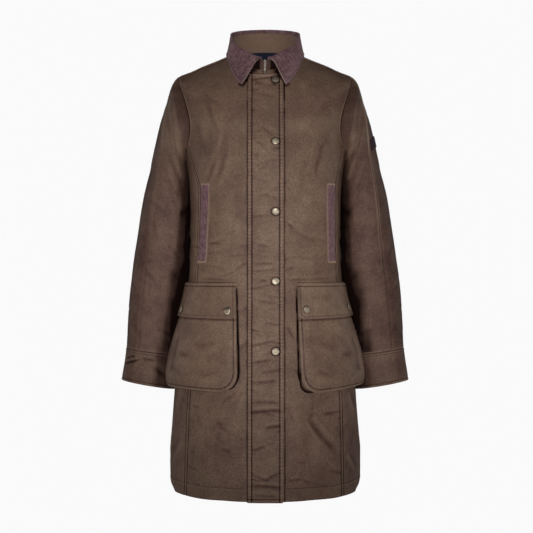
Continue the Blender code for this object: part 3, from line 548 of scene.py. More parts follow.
bodyCreases["front"] += scatterCreases(11, [  # count, across, heights, lean, spread, lengths, widths, depths
    (14, (-150, 150), (-260, -90), 64, 14, (50, 110), (2.8, 4.2), (0.2, 0.6)),
    (34, (-150, 150), (-470, -350), 5, 12, (22, 64), (2.0, 3.0), (0.4, 1.2)),
    (22, (-60, 60), (-680, -490), -28, 18, (18, 40), (2.2, 3.4), (0.4, 1.1)),
    (22, (-185, 185), (-880, -700), 66, 20, (40, 110), (3, 5), (0.2, 0.7)),
    (14, (-185, 185), (-890, -700), 8, 12, (16, 36), (2.2, 3.0), (0.4, 1.1)),
])
bodyCreases["back"] += scatterCreases(12, [
    (16, (-140, 140), (-300, -80), 62, 16, (50, 110), (3, 5), (0.2, 0.7)),
    (36, (-140, 140), (-500, -360), 5, 12, (26, 80), (2.6, 3.8), (0.4, 1.3)),
    (22, (-160, 160), (-880, -520), 78, 14, (60, 140), (4, 7), (0.3, 1.0)),
    (16, (-160, 160), (-890, -640), 8, 12, (18, 40), (2.6, 3.6), (0.4, 1.0)),
])


def bodyColumn(index, height):
    rows = bodyForm["rows"]
    return curveAt(rows[:, 0], rows[:, index], height / mm)


def foldHeight(angle, height):
    total = np.zeros(angle.shape)
    for middle, lean, top, bottom, spread, depth in bodyForm["folds"]:
        share = np.clip((height / mm - top) / (bottom - top), 0, 1)
        away = (angle - middle - lean * (share - 0.5) + 180) % 360 - 180
        total += depth * bell(away, spread) * np.sin(math.pi * share) ** 2
    return total


def rowPoint(angle, height):
    width, front, back, drop, rise, fullness = (bodyColumn(k, height) for k in range(1, 7))
    turn = np.radians(angle)
    sine, cosine = np.sin(turn), np.cos(turn)
    full = 1 + fullness * np.sin(2 * turn) ** 2
    x, y = width * sine * full, -np.where(cosine > 0, front, back) * cosine * full
    tip = -np.where(cosine > 0, drop, rise) * cosine
    grow = 1 + foldHeight(angle, height) / np.hypot(x, y)
    return np.stack([x * grow, y * grow, height / mm + tip], -1) * mm


def formPoint(angle, height):
    # the form through the rows, with the shoulder rounded over into the front and the back
    angle, height = np.broadcast_arrays(np.asarray(angle, float), np.asarray(height, float))
    down, facing = height / mm, np.abs(np.cos(np.radians(angle)))
    most, begin, end, fade = bodyForm["rounding"]
    reach = most * ease(-down / begin) * ease((down + end) / fade) * ease((facing - 0.2) / 0.4)
    shares = ((-1, 1), (-0.5, 2), (0, 3), (0.5, 2), (1, 1))  # of the reach, with their weights
    return sum(weight / 9 * rowPoint(angle, height + share * reach * mm) for share, weight in shares)


def formNormal(angle, height):
    around = formPoint(angle + 0.5, height) - formPoint(angle - 0.5, height)
    down = formPoint(angle, height - mm) - formPoint(angle, height + mm)
    return unit(np.cross(down, around))


def bodyCreased(angle, base, sharp=None):
    # millimetres that the placed creases raise or sink the cloth
    across, down = base[..., 0] / mm, base[..., 2] / mm
    facing = np.cos(np.radians(angle))
    total = creaseRelief(across, down, bodyCreases["front"], sharp) * ease((facing - 0.05) / 0.25)
    total += creaseRelief(across, down, bodyCreases["back"], sharp) * ease((-facing - 0.05) / 0.25)
    span = bodyCreases["sideSpan"]
    turned = [(a * span, z0, b * span, z1, *rest) for a, z0, b, z1, *rest in bodyCreases["side"]]
    girth = np.abs((angle + 180) % 360 - 180) * span
    total += creaseRelief(girth, down, turned, sharp) * ease((0.4 - np.abs(facing)) / 0.3)
    return total * ease(-down / 60)  # the neck edge stays where the collar holds it


def bodyRelief(angle, base):
    # all that the cloth stands out of the form: the creases, turned-in ends and an uneven lie
    across, down = base[..., 0] / mm, base[..., 2] / mm
    facing = np.cos(np.radians(angle))
    total = np.zeros(down.shape)
    reach, depth = panels["hemTuck"]
    low = np.clip(1 - (down - bodyForm["hem"] / mm) / reach, 0, 1)
    total -= depth * (1 - np.sqrt(1 - low ** 2)) * ease((0.45 - np.abs(facing)) / 0.4)
    evened = ease(-(down + 800) / 90) * ease((facing + 0.3) / 0.3)
    total -= 0.6 * foldHeight(angle, down * mm) * evened  # the hem itself runs even
    total -= 2.2 * ease((np.abs(across) - 158) / 24) * ease((down + 66) / 14)  # the shoulder's end is rounded
    for seed, (size, depth, stretch) in enumerate(bodyCreases["sway"], 3):
        total += depth * cloudy(base, size, seed, stretch)
    return total * ease(-down / 60) + bodyCreased(angle, base)


def onBody(angle, height, out=0.0):
    # a point of the creased cloth, moved out by this many millimetres
    base = formPoint(angle, height)
    lift = bodyRelief(np.broadcast_to(angle, base.shape[:-1]), base) + out
    return lifted(base, formNormal(angle, height), lift)


def angleAtWidth(across, height):
    return np.degrees(np.arcsin(np.clip(across / bodyColumn(1, height), -1, 1)))


def armholePlace(turn, inset=0.0):
    # angle and height of the armhole's edge: turn 0 at the shoulder, 90 in front, 180 under the arm
    half = (bodyForm["shoulder"] - bodyForm["underarm"]) / 2 - inset * mm
    middle = (bodyForm["shoulder"] + bodyForm["underarm"]) / 2
    sine = np.sin(np.radians(turn))
    reach = np.where(sine > 0, bodyForm["armholeFront"], bodyForm["armholeBack"])
    reach = reach - np.degrees(inset / bodyColumn(1, np.float64(middle)))
    return 90 - reach * sine, middle + half * np.cos(np.radians(turn))


def armholeTurn(height):
    middle = (bodyForm["shoulder"] + bodyForm["underarm"]) / 2
    return np.degrees(np.arccos(np.clip((height - middle) / (bodyForm["shoulder"] - middle), -1, 1)))


def seamAngle(index, height):
    return curveAt(bodyForm["seams"][:, 0], bodyForm["seams"][:, index], height / mm)


def gapAngle(height):
    return np.degrees(bodyForm["seamGap"] / 2 / bodyColumn(1, height))


def panelLimit(height, arm, seamName):
    # where a panel ends: shoulder seam, armhole or long seam
    seam = seamAngle(bodyForm["seamColumn"][seamName], height)
    below = np.where(height >= bodyForm["princessTop"], arm, seam)
    return np.where(height >= bodyForm["shoulder"], 90, below)


def frontLimit(height, sideName):
    return panelLimit(height, armholePlace(armholeTurn(height))[0], sideName) - gapAngle(height)


def backLimit(height):
    return panelLimit(height, armholePlace(360 - armholeTurn(height))[0], "back") + gapAngle(height)


# Making cloth


def gridNormals(grid, closed=False):
    down = np.gradient(grid, axis=0)
    if closed:
        across = np.roll(grid, -1, axis=1) - np.roll(grid, 1, axis=1)
    else:
        across = np.gradient(grid, axis=1)
    return unit(np.cross(down, across))


def runLengths(grid, axis):
    steps = np.linalg.norm(np.diff(grid, axis=axis), axis=-1)
    start = np.zeros([1 if k == axis else n for k, n in enumerate(steps.shape)])
    return np.concatenate([start, np.cumsum(steps, axis=axis)], axis=axis)


def addMesh(name, points, faces, materials, smooth=55):
    mesh = bpy.data.meshes.new(name)
    mesh.from_pydata(points, [], faces)
    for material in materials:
        mesh.materials.append(material)
    mesh.shade_smooth()
    mesh.set_sharp_from_angle(angle=math.radians(smooth))
    made = bpy.data.objects.new(name, mesh)
    scene.collection.objects.link(made)
    return made


def clothPiece(node, outer, inner, wearAndShading, cloth="waxed", behind=None, closed=False):
    # a thin wall of cloth between two grids of points, rows down and columns across, in place of a node
    rows, columns = outer.shape[:2]
    count = rows * columns
    index = np.arange(count).reshape(rows, columns)
    laid = outer
    if closed:
        index = np.concatenate([index, index[:, :1]], axis=1)
        laid = np.concatenate([outer, outer[:, :1]], axis=1)
    a, b, c, d = index[:-1, :-1], index[1:, :-1], index[1:, 1:], index[:-1, 1:]
    face = np.stack([a, b, c, d], -1).reshape(-1, 4)
    rims = [(index[0, :-1], index[0, 1:]), (index[-1, 1:], index[-1, :-1])]
    if not closed:
        rims += [(index[1:, 0], index[:-1, 0]), (index[:-1, -1], index[1:, -1])]
    rim = np.concatenate([np.stack([p, q, q + count, p + count], -1) for p, q in rims])
    faces = np.concatenate([face, face[:, ::-1] + count, rim])
    middle = outer[rows // 2, columns // 2] - inner[rows // 2, columns // 2]
    if np.dot(gridNormals(outer)[rows // 2, columns // 2], middle) < 0:
        faces = faces[:, ::-1]
    points = np.concatenate([outer.reshape(-1, 3), inner.reshape(-1, 3)])
    made = addMesh(f"cloth_{node}", points, faces, [finish[kind] for kind in (cloth, behind) if kind])
    mesh = made.data
    if behind:
        mesh.polygons.foreach_set("material_index", np.repeat([0, 1, 0], [len(face), len(face), len(rim)]))
    # the piece's own flat lay, in metres: across from its middle column, down from its top
    u = runLengths(laid, 1)
    u = u - u[:, columns // 2:columns // 2 + 1]
    v = np.broadcast_to(runLengths(laid, 0)[:, columns // 2:columns // 2 + 1], u.shape)
    lay = np.stack([u, v], -1)[:, :columns].reshape(-1, 2)
    corner = np.zeros(len(mesh.loops), np.int32)
    mesh.loops.foreach_get("vertex_index", corner)
    mesh.uv_layers.new(name="lay").data.foreach_set("uv", lay[corner % count].astype(np.float32).ravel())
    toned = np.concatenate([wearAndShading.ravel(), np.zeros(count)]).astype(np.float32)
    mesh.attributes.new("wearAndShading", "FLOAT", "POINT").data.foreach_set("value", toned)
    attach(made, "root")
    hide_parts(node)
    a, b, c, d = laid[:-1, :-1], laid[1:, :-1], laid[1:, 1:], laid[:-1, 1:]


def edgeLines(distance, lines):
    # seams and stitched grooves beside an edge: place, depth, half width, wear
    relief, wearAndShading = np.zeros(distance.shape), np.zeros(distance.shape)
    for at, depth, width, toned in lines:
        share = bell(distance - at, width)
        relief += depth * share
        wearAndShading += toned * share
    return relief, wearAndShading


def withLines(relief, wearAndShading, distance, lines):
    work, toned = edgeLines(np.broadcast_to(distance, relief.shape), lines)
    return relief + work, wearAndShading + toned


def pucker(along, distance, reach, pitch, depth, seed):
    # small ripples that a row of stitches draws up beside it
    drift = cloudy(np.stack([along * mm, along * 0, along * 0 + distance * 0.05 * mm], -1), 31, seed)
    strength = np.exp(-np.clip(distance, 0, None) / reach) * (0.65 + 0.6 * drift)
    return depth * strength * np.sin(2 * math.pi * along / pitch + 5 * drift)


stitching = {"pitch": 3.6, "length": 3.0, "width": 0.75, "height": 0.42}  # millimetres
stitchRuns = {}


def stitchRun(group, points, normals, **changes):
    stitchRuns.setdefault(group, []).append((points, normals, {**stitching, **changes}))


def stitchShape(points, normals, sizes):
    along = np.concatenate([[0], np.cumsum(np.linalg.norm(np.diff(points, axis=0), axis=1))])
    count = max(1, int(along[-1] / (sizes["pitch"] * mm)))
    middle = (np.arange(count) + 0.5) * along[-1] / count

    def at(place, values):
        return np.stack([np.interp(place, along, values[:, k]) for k in range(3)], -1)

    half = sizes["length"] / 2 * mm
    start, end = at(middle - half, points), at(middle + half, points)
    out = unit(at(middle, normals))
    side = unit(np.cross(end - start, out))
    swing = sizes.get("zigzag", 0) / 2 * mm * np.where(np.arange(count) % 2, 1, -1)[:, None]
    start, end = start - side * swing, end + side * swing
    side = unit(np.cross(end - start, out)) * sizes["width"] / 2 * mm
    high = out * sizes["height"] * mm
    rings = [start + (end - start) * share for share in (0.2, 0.8)]
    parts = [start - high * 0.3]
    for ring in rings:
        parts += [ring + side + high * 0.4, ring + high, ring - side + high * 0.4, ring - high * 0.5]
    parts.append(end - high * 0.3)
    points = np.stack(parts, 1)
    faces = [(0, 2, 1), (0, 3, 2), (0, 4, 3), (0, 1, 4), (9, 5, 6), (9, 6, 7), (9, 7, 8), (9, 8, 5)]
    faces += [(1, 2, 6, 5), (2, 3, 7, 6), (3, 4, 8, 7), (4, 1, 5, 8)]
    return points, faces


def makeStitches(group, thread):
    points, faces, start = [], [], 0
    for run in stitchRuns[group]:
        shapes, pattern = stitchShape(*run)
        points.append(shapes.reshape(-1, 3))
        for k in range(len(shapes)):
            faces += [tuple(i + start for i in face) for face in pattern]
            start += shapes.shape[1]
    made = addMesh(f"stitching_{group}", np.concatenate(points), faces, [finish[thread]], smooth=80)
    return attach(made, "root")


# Body panels

panels = {
    # from a stitched edge
    "seamColumns": [0, 0.5, 0.9, 1.5, 2.4, 3.5, 4.7, 5.8, 6.5, 7.0, 7.5, 8.4, 10, 12.5],
    "columnStep": 3.0, "backStep": 7.0,
    "hemRows": [30, 28, 26.6, 25.7, 25, 24.3, 23.4, 21.5, 18, 14, 10, 6.5, 3.8, 2, 0.9, 0],  # above the edge
    "rowStep": 2.5, "coarseRowStep": 4.0,
    "princess": [(0, -1.0, 1.5, -0.8), (3.6, 0.6, 1.8, 0.35), (7.0, -0.8, 1.5, -0.8)],
    "under": [(0, -1.0, 1.5, -0.8), (3, 0.15, 2, 0.1)],
    "armhole": [(0, -0.4, 0.9, -0.2), (2.4, 0.6, 1.7, 1.5)],
    "hem": [(0, -0.5, 1.0, -0.3), (25, -0.4, 1.0, -0.22), (22.4, 0.3, 1.6, 0.15)],
    "hemTuck": (24, 10),  # how far above the hem the sides begin to turn in, and by how much
    "frontColumns": {"left": [0, 10, 20, 27, 30.5, 32, 33, 34, 35.2, 37, 40],
                     "right": [0, 9, 18, 25, 28.5, 30, 31, 32, 33.2, 35, 38]},  # closer where the flap ends
    "stitchColumns": (2, 9),  # of seamColumns
    "hemStitchRow": -12, "sideColumns": 34,
    "pucker": (6, 8.5, 0.35),  # reach, pitch, depth
    "creaseShading": (0.22, 4.2, -0.6, 0.4),  # share of the relief that darkens troughs as painted shade and pales ridges, the widest sharp crease, limits
    "bands": [(0.2, -138, 26), (-0.15, -84, 26)],  # paler across the chest, and painted shade on the shoulders: amount, height, half width
    # painted shade on the lower skirt and on its sides
    "skirtShade": (0.07, 0.05, -660, 90), "sideShade": (0.08, 0.62, 0.1, -640, 60),
}


def panelHeights(rowStep):
    shoulder = np.linspace(0, bodyForm["shoulder"], 27)[:-1]
    armhole = armholePlace(np.linspace(0, armholeTurn(bodyForm["princessTop"]), 46))[1]
    hem = bodyForm["hem"] + np.array(panels["hemRows"]) * mm
    steps = round((bodyForm["princessTop"] - hem[0]) / (rowStep * mm))
    below = np.linspace(bodyForm["princessTop"], hem[0], steps + 1)[1:-1]
    return np.concatenate([shoulder, armhole, below, hem])


def perDegree(angle, height):
    return np.linalg.norm(formPoint(angle + 0.5, height) - formPoint(angle - 0.5, height), axis=-1) / mm


def panelAngles(start, end, height, near, far, count):
    # columns at fixed distances from both edges and even between them, for rows of heights
    first = start[..., None] + np.array(near) / perDegree(start, height)[..., None]
    last = end[..., None] - np.array(far[::-1]) / perDegree(end, height)[..., None]
    share = np.linspace(0, 1, count + 2)[1:-1]
    middle = first[..., -1:] + (last[..., :1] - first[..., -1:]) * share
    return np.concatenate([first, middle, last], axis=-1)


def seamWork(angle, height, edge, lines):
    # relief and wear beside a seam, from the distance to it
    distance = np.abs(angle - edge) * perDegree(edge, height)
    relief, wearAndShading = edgeLines(distance, lines)
    return relief, wearAndShading, distance


def panelEdge(angle, height, edge, seam, seed):
    # an edge that is shoulder seam, armhole and long seam by turns
    relief, wearAndShading, distance = seamWork(angle, height, edge, seam)
    arm, armWear, distance = seamWork(angle, height, edge, panels["armhole"])
    isArm = (height < bodyForm["shoulder"]) & (height >= bodyForm["princessTop"])
    ripple = pucker(height / mm, distance, *panels["pucker"], seed)
    return np.where(isArm, arm, relief) + ripple, np.where(isArm, armWear, wearAndShading)


def bodyPanel(name, angle, height, relief, wearAndShading):
    relief, wearAndShading = withLines(relief, wearAndShading, (height - bodyForm["hem"]) / mm, panels["hem"])
    base = onBody(angle, height, relief)
    inner = base - formNormal(angle, height) * bodyForm["cloth"] * mm
    # painted shade in the crease troughs, paler on their ridges
    share, sharp, least, most = panels["creaseShading"]
    wearAndShading = wearAndShading + np.clip(share * bodyCreased(angle, formPoint(angle, height), sharp), least, most)
    turn, down = np.radians(angle), height / mm
    # painted shade, darker towards the bottom of the skirt
    even, swing, top, fade = panels["skirtShade"]
    wearAndShading = wearAndShading - (even + swing * np.sin(2 * turn)) * ease((top - down) / fade)
    # paler across the chest, painted shade on the shoulders
    for strength, middle, width in panels["bands"]:
        wearAndShading = wearAndShading + strength * bell(down - middle, width)
    # painted shade on the sides of the lower skirt
    strength, facing, turned, top, fade = panels["sideShade"]
    wearAndShading = wearAndShading - strength * ease((facing - np.abs(np.cos(turn))) / turned) * ease((top - down) / fade)
    clothPiece(name, base, inner, wearAndShading)
    return base, outward(gridNormals(base), base)


def outward(normals, points):
    # normals turned to point away from the middle of the coat
    flip = np.sign((normals[..., :2] * points[..., :2]).sum(-1, keepdims=True))
    return normals * np.where(flip == 0, 1, flip)


def collarShade(points, name):
    # painted shadow in the strip beside the front edge of a collar leaf
    x0, z0, x1, z1 = collar["leafEdge"][name]
    across, down = np.abs(points[..., 0]) / mm, points[..., 2] / mm
    run = math.hypot(x1 - x0, z1 - z0)
    along = ((across - x0) * (x1 - x0) + (down - z0) * (z1 - z0)) / run
    inside = ((down - z0) * (x1 - x0) - (across - x0) * (z1 - z0)) / -run
    within = ease((along + 4) / 8) * ease((run + 2 - along) / 9)
    return 1.25 * ease((inside + 9) / 3) * ease((7 - inside) / 7) * within


def underShade(angle, height, name):
    # painted shadow lines beside the edges of the storm flap, along the pocket's inner edge and under its
    # bottom, and under the collar leaves
    points = formPoint(angle, height)
    across, down = np.abs(points[..., 0]) / mm, points[..., 2] / mm
    uneven = 0.85 + 0.9 * cloudy(points, 24, 14)
    strength, offset, width = flap["shade"][name]
    shade = strength * bell(across - flap[name] - offset, width)
    innerTop, innerBottom, bottom, lift = pocket["rows"][name]
    share = (pocket["top"] - down) / (pocket["top"] - bottom)
    edge = innerTop + (innerBottom - innerTop) * share + cornerCut(pocket["corner"], down - bottom)
    beside = edge - across
    within = ease(share / 0.06) * ease((1.02 - share) / 0.1)
    shade += 1.5 * ease((beside + 3) / 1.5) * ease((3.6 - beside) / 3.2) * within
    below = bottom + lift * np.clip((across - edge) / pocket["width"], 0, 1) - down
    shade += 0.6 * bell(below - 1.5, 2.5) * ease((across - edge - 20) / 14)
    return np.clip(shade * uneven + collarShade(points, name), 0, 1.3)


def makeFronts():
    heights = panelHeights(panels["rowStep"])
    for seed, (name, side) in enumerate(sides.items()):
        start, end = angleAtWidth(4.5, heights), frontLimit(heights, name)
        width = ((end - start) * perDegree(end, heights)).max()
        count = round(width / panels["columnStep"])
        angle = panelAngles(start, end, heights, panels["frontColumns"][name], panels["seamColumns"], count)
        height = np.broadcast_to(heights[:, None], angle.shape)
        relief, wearAndShading = panelEdge(angle, height, end[:, None], panels["princess"], seed)
        wearAndShading = wearAndShading - underShade(side * angle, height, name)
        points, normals = bodyPanel(f"front_{name}", side * angle, height, relief, wearAndShading)
        below = heights < bodyForm["princessTop"] - 2 * mm
        above = heights > bodyForm["shoulder"]
        for column in panels["stitchColumns"]:
            stitchRun("body", points[below, -1 - column], normals[below, -1 - column])
        stitchRun("body", points[above, -10], normals[above, -10])
        row = panels["hemStitchRow"]
        stitchRun("body", points[row, 6:], normals[row, 6:])


def makeBack():
    heights = panelHeights(panels["coarseRowStep"])
    start = backLimit(heights)
    end = 360 - start
    width = ((end - start) * perDegree(start + 90, heights)).max()
    count = round(width / panels["backStep"])
    angle = panelAngles(start, end, heights, panels["seamColumns"], panels["seamColumns"], count)
    height = np.broadcast_to(heights[:, None], angle.shape)
    first, wearFirst = panelEdge(angle, height, start[:, None], panels["princess"], 5)
    last, wearLast = panelEdge(angle, height, end[:, None], panels["princess"], 6)
    points, normals = bodyPanel("back", angle, height, first + last, wearFirst + wearLast)
    below = heights < bodyForm["princessTop"] - 2 * mm
    for column in panels["stitchColumns"]:
        for k in (column, -1 - column):
            stitchRun("body", points[below, k], normals[below, k])
    stitchRun("body", points[panels["hemStitchRow"]], normals[panels["hemStitchRow"]])


def makeSides():
    for seed, (name, side) in enumerate(sides.items(), 7):
        front, rear = bodyForm["seamColumn"][name], bodyForm["seamColumn"]["back"]

        def columnAngles(height):
            # height of each column, the columns along the last axis
            low = seamAngle(front, height) + gapAngle(height)
            high = seamAngle(rear, height) - gapAngle(height)
            near = np.array(panels["seamColumns"])
            share = np.linspace(0, 1, panels["sideColumns"] + 2)[1:-1]
            size = len(near)
            first = low[..., :size] + near / perDegree(low[..., :size], height[..., :size])
            last = high[..., -size:] - near[::-1] / perDegree(high[..., -size:], height[..., -size:])
            lowMiddle, highMiddle = low[..., size:-size], high[..., size:-size]
            edge = near[-1] / perDegree(lowMiddle, height[..., size:-size])
            farEdge = near[-1] / perDegree(highMiddle, height[..., size:-size])
            middle = lowMiddle + edge + (highMiddle - farEdge - lowMiddle - edge) * share
            return np.concatenate([first, middle, last], axis=-1)

        columns = 2 * len(panels["seamColumns"]) + panels["sideColumns"]
        first = float(armholeTurn(bodyForm["princessTop"]))
        low, high = np.full(columns, first), np.full(columns, 360 - first)
        for step in range(40):  # where each column meets the lower arc of the armhole
            turn = (low + high) / 2
            angle, height = armholePlace(turn)
            before = angle < columnAngles(height)
            low, high = np.where(before, turn, low), np.where(before, high, turn)
        tops = armholePlace((low + high) / 2)[1]
        hem = bodyForm["hem"] + np.array(panels["hemRows"]) * mm
        steps = round((bodyForm["underarm"] - hem[0]) / (panels["coarseRowStep"] * mm))
        upper = tops + (hem[0] - tops) * np.linspace(0, 1, steps + 1)[:-1, None]
        height = np.concatenate([upper, np.broadcast_to(hem[:, None], (len(hem), columns))])
        angle = columnAngles(height)
        relief, wearAndShading, near = seamWork(angle, height, seamAngle(front, height), panels["under"])
        back, backWear, far = seamWork(angle, height, seamAngle(rear, height), panels["under"])
        relief = relief + back + pucker(height / mm, np.minimum(near, far), *panels["pucker"], seed)
        relief, wearAndShading = withLines(relief, wearAndShading + backWear, (tops - height) / mm, panels["armhole"])
        points, normals = bodyPanel(f"side_{name}", side * angle, height, relief, wearAndShading)
        stitchRun("body", points[panels["hemStitchRow"]], normals[panels["hemStitchRow"]])


makeBack()
makeSides()
print("back and sides made")

# Sleeves and cuffs

sleeve = {
    "rows": np.array([  # across, height, back, tilt, half width, half depth, twist
        (181.2, -135, 4, 81, 76.5, 60, 1), (187.6, -164, 9, 72, 65.6, 62, 22),
        (192.6, -189, 15, 58, 54.6, 62, 41), (196.2, -222, 20, 43, 49.7, 62, 52),
        (201.5, -262, 24, 26, 47.9, 61, 57), (208, -312, 26, 14, 51.5, 60, 60),
        (214, -385, 28, 11, 57, 58, 62), (219.5, -450, 28, 9, 61, 56, 62), (228, -510, 28, 8, 59.5, 53, 62),
        (236, -590, 25, 7, 56, 49, 62), (239.5, -622, 23, 8, 54, 47, 62), (248, -690, 19, 10, 55, 44, 62),
    ], float),
    "folds": [  # station, angle, length, spread, lean, depth
        (2.4, 40, 1.6, 16, 20, -4.0), (3.6, 62, 2.4, 14, 10, 3.5), (6.2, 40, 2.6, 15, -20, -4.0),
        (7.6, 75, 1.8, 16, -35, 3.5), (8.4, 22, 2.0, 12, -12, -3.0), (7.4, 195, 1.8, 18, 25, -4.0),
        (8.2, 240, 1.8, 16, 30, 3.5), (9.4, 140, 1.4, 18, 25, -3.0),
        (2.0, 160, 3.2, 40, 0, 8.0), (4.8, 138, 5.4, 24, 0, 6.0),  # the underarm fills out towards the body
        (6.6, 140, 3.6, 24, 0, 5.0), (11.8, 122, 3.2, 34, 0, 4.0),
    ],
    "creases": [  # turn and height, turn and height, half width, depth, bow
        (20, -130, 70, -170, 6, -2.0, 3), (10, -165, 60, -205, 6, -1.6, 2), (30, -215, 82, -258, 7, -2.4, 0),
        (20, -262, 70, -288, 7, -1.6, 0), (60, -332, 112, -300, 8, -2.6, 0),
        (74, -402, 116, -358, 8, -2.2, 0), (40, -472, 102, -428, 10, -2.4, 3),
        (50, -522, 106, -498, 8, -2.0, 0), (-30, -418, 22, -440, 10, -1.4, 0),
        (-40, -522, 12, -498, 10, -1.5, 0), (-22, -330, 8, -424, 12, -1.6, 0),
        (64, -562, 112, -544, 7, -1.8, 0), (80, -592, 120, -560, 7, -1.6, 0),
        (-60, -250, -20, -290, 10, -1.3, 0), (-30, -560, 30, -586, 9, -1.2, 0),
        (170, -352, 232, -370, 9, -2.4, 0), (190, -424, 252, -400, 9, -2.2, 0),
        (160, -302, 216, -288, 8, -2.0, 0), (240, -482, 292, -500, 10, -1.4, 0),
        (150, -484, 212, -504, 9, -2.0, 0), (200, -210, 262, -250, 9, -1.6, 0),
    ],
    "cuffCreases": {"left": [(60, -640, 100, -650, 4, -1.4, 0)],
                    "right": [(-50, -655, 10, -637, 2.0, -4.2, -2), (-32, -646, 4, -635, 2.4, 1.8, 0),
                              (8, -637, 42, -637, 2.0, -2.6, 1), (-38, -646, -18, -636, 1.9, -2.4, 1),
                              (-20, -636, -2, -638, 1.9, -2.4, 1), (30, -648, 74, -668, 5, -1.8, 0)]},
    "turnSpan": 0.95,  # millimetres of cloth for each degree round the arm
    "seed": {"left": 20, "right": 40},
    "seamWear": {"left": 1.15, "right": 0.5}, "fellWear": {"left": 1, "right": 0.4},
    "capRows": [0, 0.5, 1.1, 2, 3.2, 4.8, 7], "rowStep": 3.5,  # closer together beside a seam
    "cuffRows": [0, 0.5, 1.0, 1.8, 2.6, 3.4, 4.0, 4.4, 4.8, 5.5, 6.2, 7], "cuffStep": 2.2, "cuffColumns": 180,
    "sway": [(80, 0.9, 2.4), (34, 0.5, 1.8), (14, 0.22, 1.0)],
    "dusk": np.array([  # station, and the turns where painted shade begins on the inner side and where painted shadow turns it black
        (2, 112, 150), (4, 84, 114), (5.6, 66, 97), (6.4, 66, 88), (7.75, 56, 76), (9.2, 51, 64),
        (10, 48, 72), (11.2, 43, 96), (12, 43, 96),
    ]),
    "cuffStation": 11, "end": 12,
    "seamTurns": [0.17, 0.6, 1.1, 1.8, 2.6, 3.8, 5.4, 7.5, 10],  # degrees from a seam
    "turnStep": 3.7,
    "overarm": {"front": [(0, -0.7, 0.8, -0.6), (2.0, 0.55, 1.5, 0.85)],
                "back": [(0, -0.7, 0.8, -0.6), (2.0, 0.35, 1.4, 0.3)]},
    "fell": [(5, 0.8, 2.4, 1.3)],  # the felled edge shows on the upper arm alone
    "underarm": [(0, -0.8, 0.9, -0.6), (2.2, 0.3, 1.5, 0.15)],
    "cap": [(0, -0.3, 1.2, -0.45), (7, 0.7, 6, 0.05)],
    "cuffSeam": [(0, -0.9, 0.9, -0.8), (2.4, 0.3, 1.6, 0.2)],
    "cuffTop": [(0, -0.1, 0.7, -0.4), (1.8, 0.5, 1.4, 0.25), (4.4, -0.3, 0.8, -0.3)],
    "cuffEdge": [(0, -0.5, 0.8, -0.2), (5.5, -0.5, 0.8, -0.65), (2.6, 0.4, 1.6, 0.25)],
}

sleeve["creases"] += [
    (x0 / sleeve["turnSpan"] + 90, z0, x1 / sleeve["turnSpan"] + 90, z1, *rest)
    for x0, z0, x1, z1, *rest in scatterCreases(13, [
        (16, (-165, 165), (-330, -150), 66, 16, (40, 90), (2.6, 4.5), (0.3, 0.9)),
        (22, (-165, 165), (-480, -310), 40, 26, (26, 64), (2.6, 4.2), (0.3, 1.0)),
        (18, (-165, 165), (-610, -470), 40, 24, (26, 64), (2.6, 4.5), (0.3, 0.9)),
    ])
]


def sleeveKeys(turn):
    # the key sections down the wearer's left arm, each a ring of points; the first is the armhole's edge
    rings = [formPoint(*armholePlace(turn % 360, bodyForm["armholeGap"])) / mm]
    for across, height, back, tilt, halfWidth, halfDepth, twist in sleeve["rows"]:
        lean, around = math.radians(tilt), np.radians(turn + twist)
        reach = halfWidth * np.cos(around)
        rings.append(np.stack([
            across + reach * math.cos(lean),
            back - halfDepth * np.sin(around),
            height + reach * math.sin(lean),
        ], -1))
    return np.array(rings) * mm


def sleeveSmooth(turn, station):
    return curveAt(np.arange(sleeve["end"] + 1), sleeveKeys(turn), station)


def sleeveNormal(turn, station):
    around = sleeveSmooth(turn + 1, station) - sleeveSmooth(turn - 1, station)
    down = sleeveSmooth(turn, station + 0.02) - sleeveSmooth(turn, station - 0.02)
    normal = unit(np.cross(around, down))
    atSeam = formNormal(*armholePlace(turn % 360, bodyForm["armholeGap"]))
    return np.where((station < 0.01)[:, None, None], atSeam, normal)


def sleeveRelief(turn, station, base, seed, creases):
    turn, at = np.meshgrid(turn, station)
    total = np.zeros(turn.shape)
    for middle, angle, length, spread, lean, depth in sleeve["folds"]:
        along = np.clip((at - middle) / (length / 2), -1, 1)
        away = (turn - angle - lean * along + 180) % 360 - 180
        total += depth * bell(away, spread) * np.cos(math.pi / 2 * along) ** 2
    heights = np.concatenate([[-125], sleeve["rows"][:, 1]])
    down = curveAt(np.arange(sleeve["end"] + 1), heights, at)
    span = sleeve["turnSpan"]
    extra, tone = np.zeros(turn.shape), np.zeros(turn.shape)
    for a, z0, b, z1, *rest in creases:
        middle = (a + b) / 2
        away = (turn - middle + 180) % 360 - 180
        made = [((a - middle) * span, z0, (b - middle) * span, z1, *rest)]
        extra += creaseRelief(away * span, down, made)
        # the sharp creases alone, for painted shade in their troughs and paler ridges
        tone += creaseRelief(away * span, down, made, 4.2)
    for count, (size, depth, stretch) in enumerate(sleeve["sway"], seed):
        extra += depth * cloudy(base, size, count, stretch)
    return total + extra * ease(at / 0.6), tone


def sleeveStations(start, end, dense, step):
    # stations evenly spaced down the front of the arm, closer together beside the seams
    fine = np.linspace(start, end, 600)
    run = runLengths(sleeveSmooth(np.array([28.0]), fine), 0)[:, 0] / mm
    dense = np.array(dense)
    even = np.linspace(dense[-1], run[-1] - dense[-1], round((run[-1] - 2 * dense[-1]) / step) + 1)[1:-1]
    places = np.concatenate([dense, even, run[-1] - dense[::-1]])
    return np.interp(places, run, fine), places, run[-1] - places


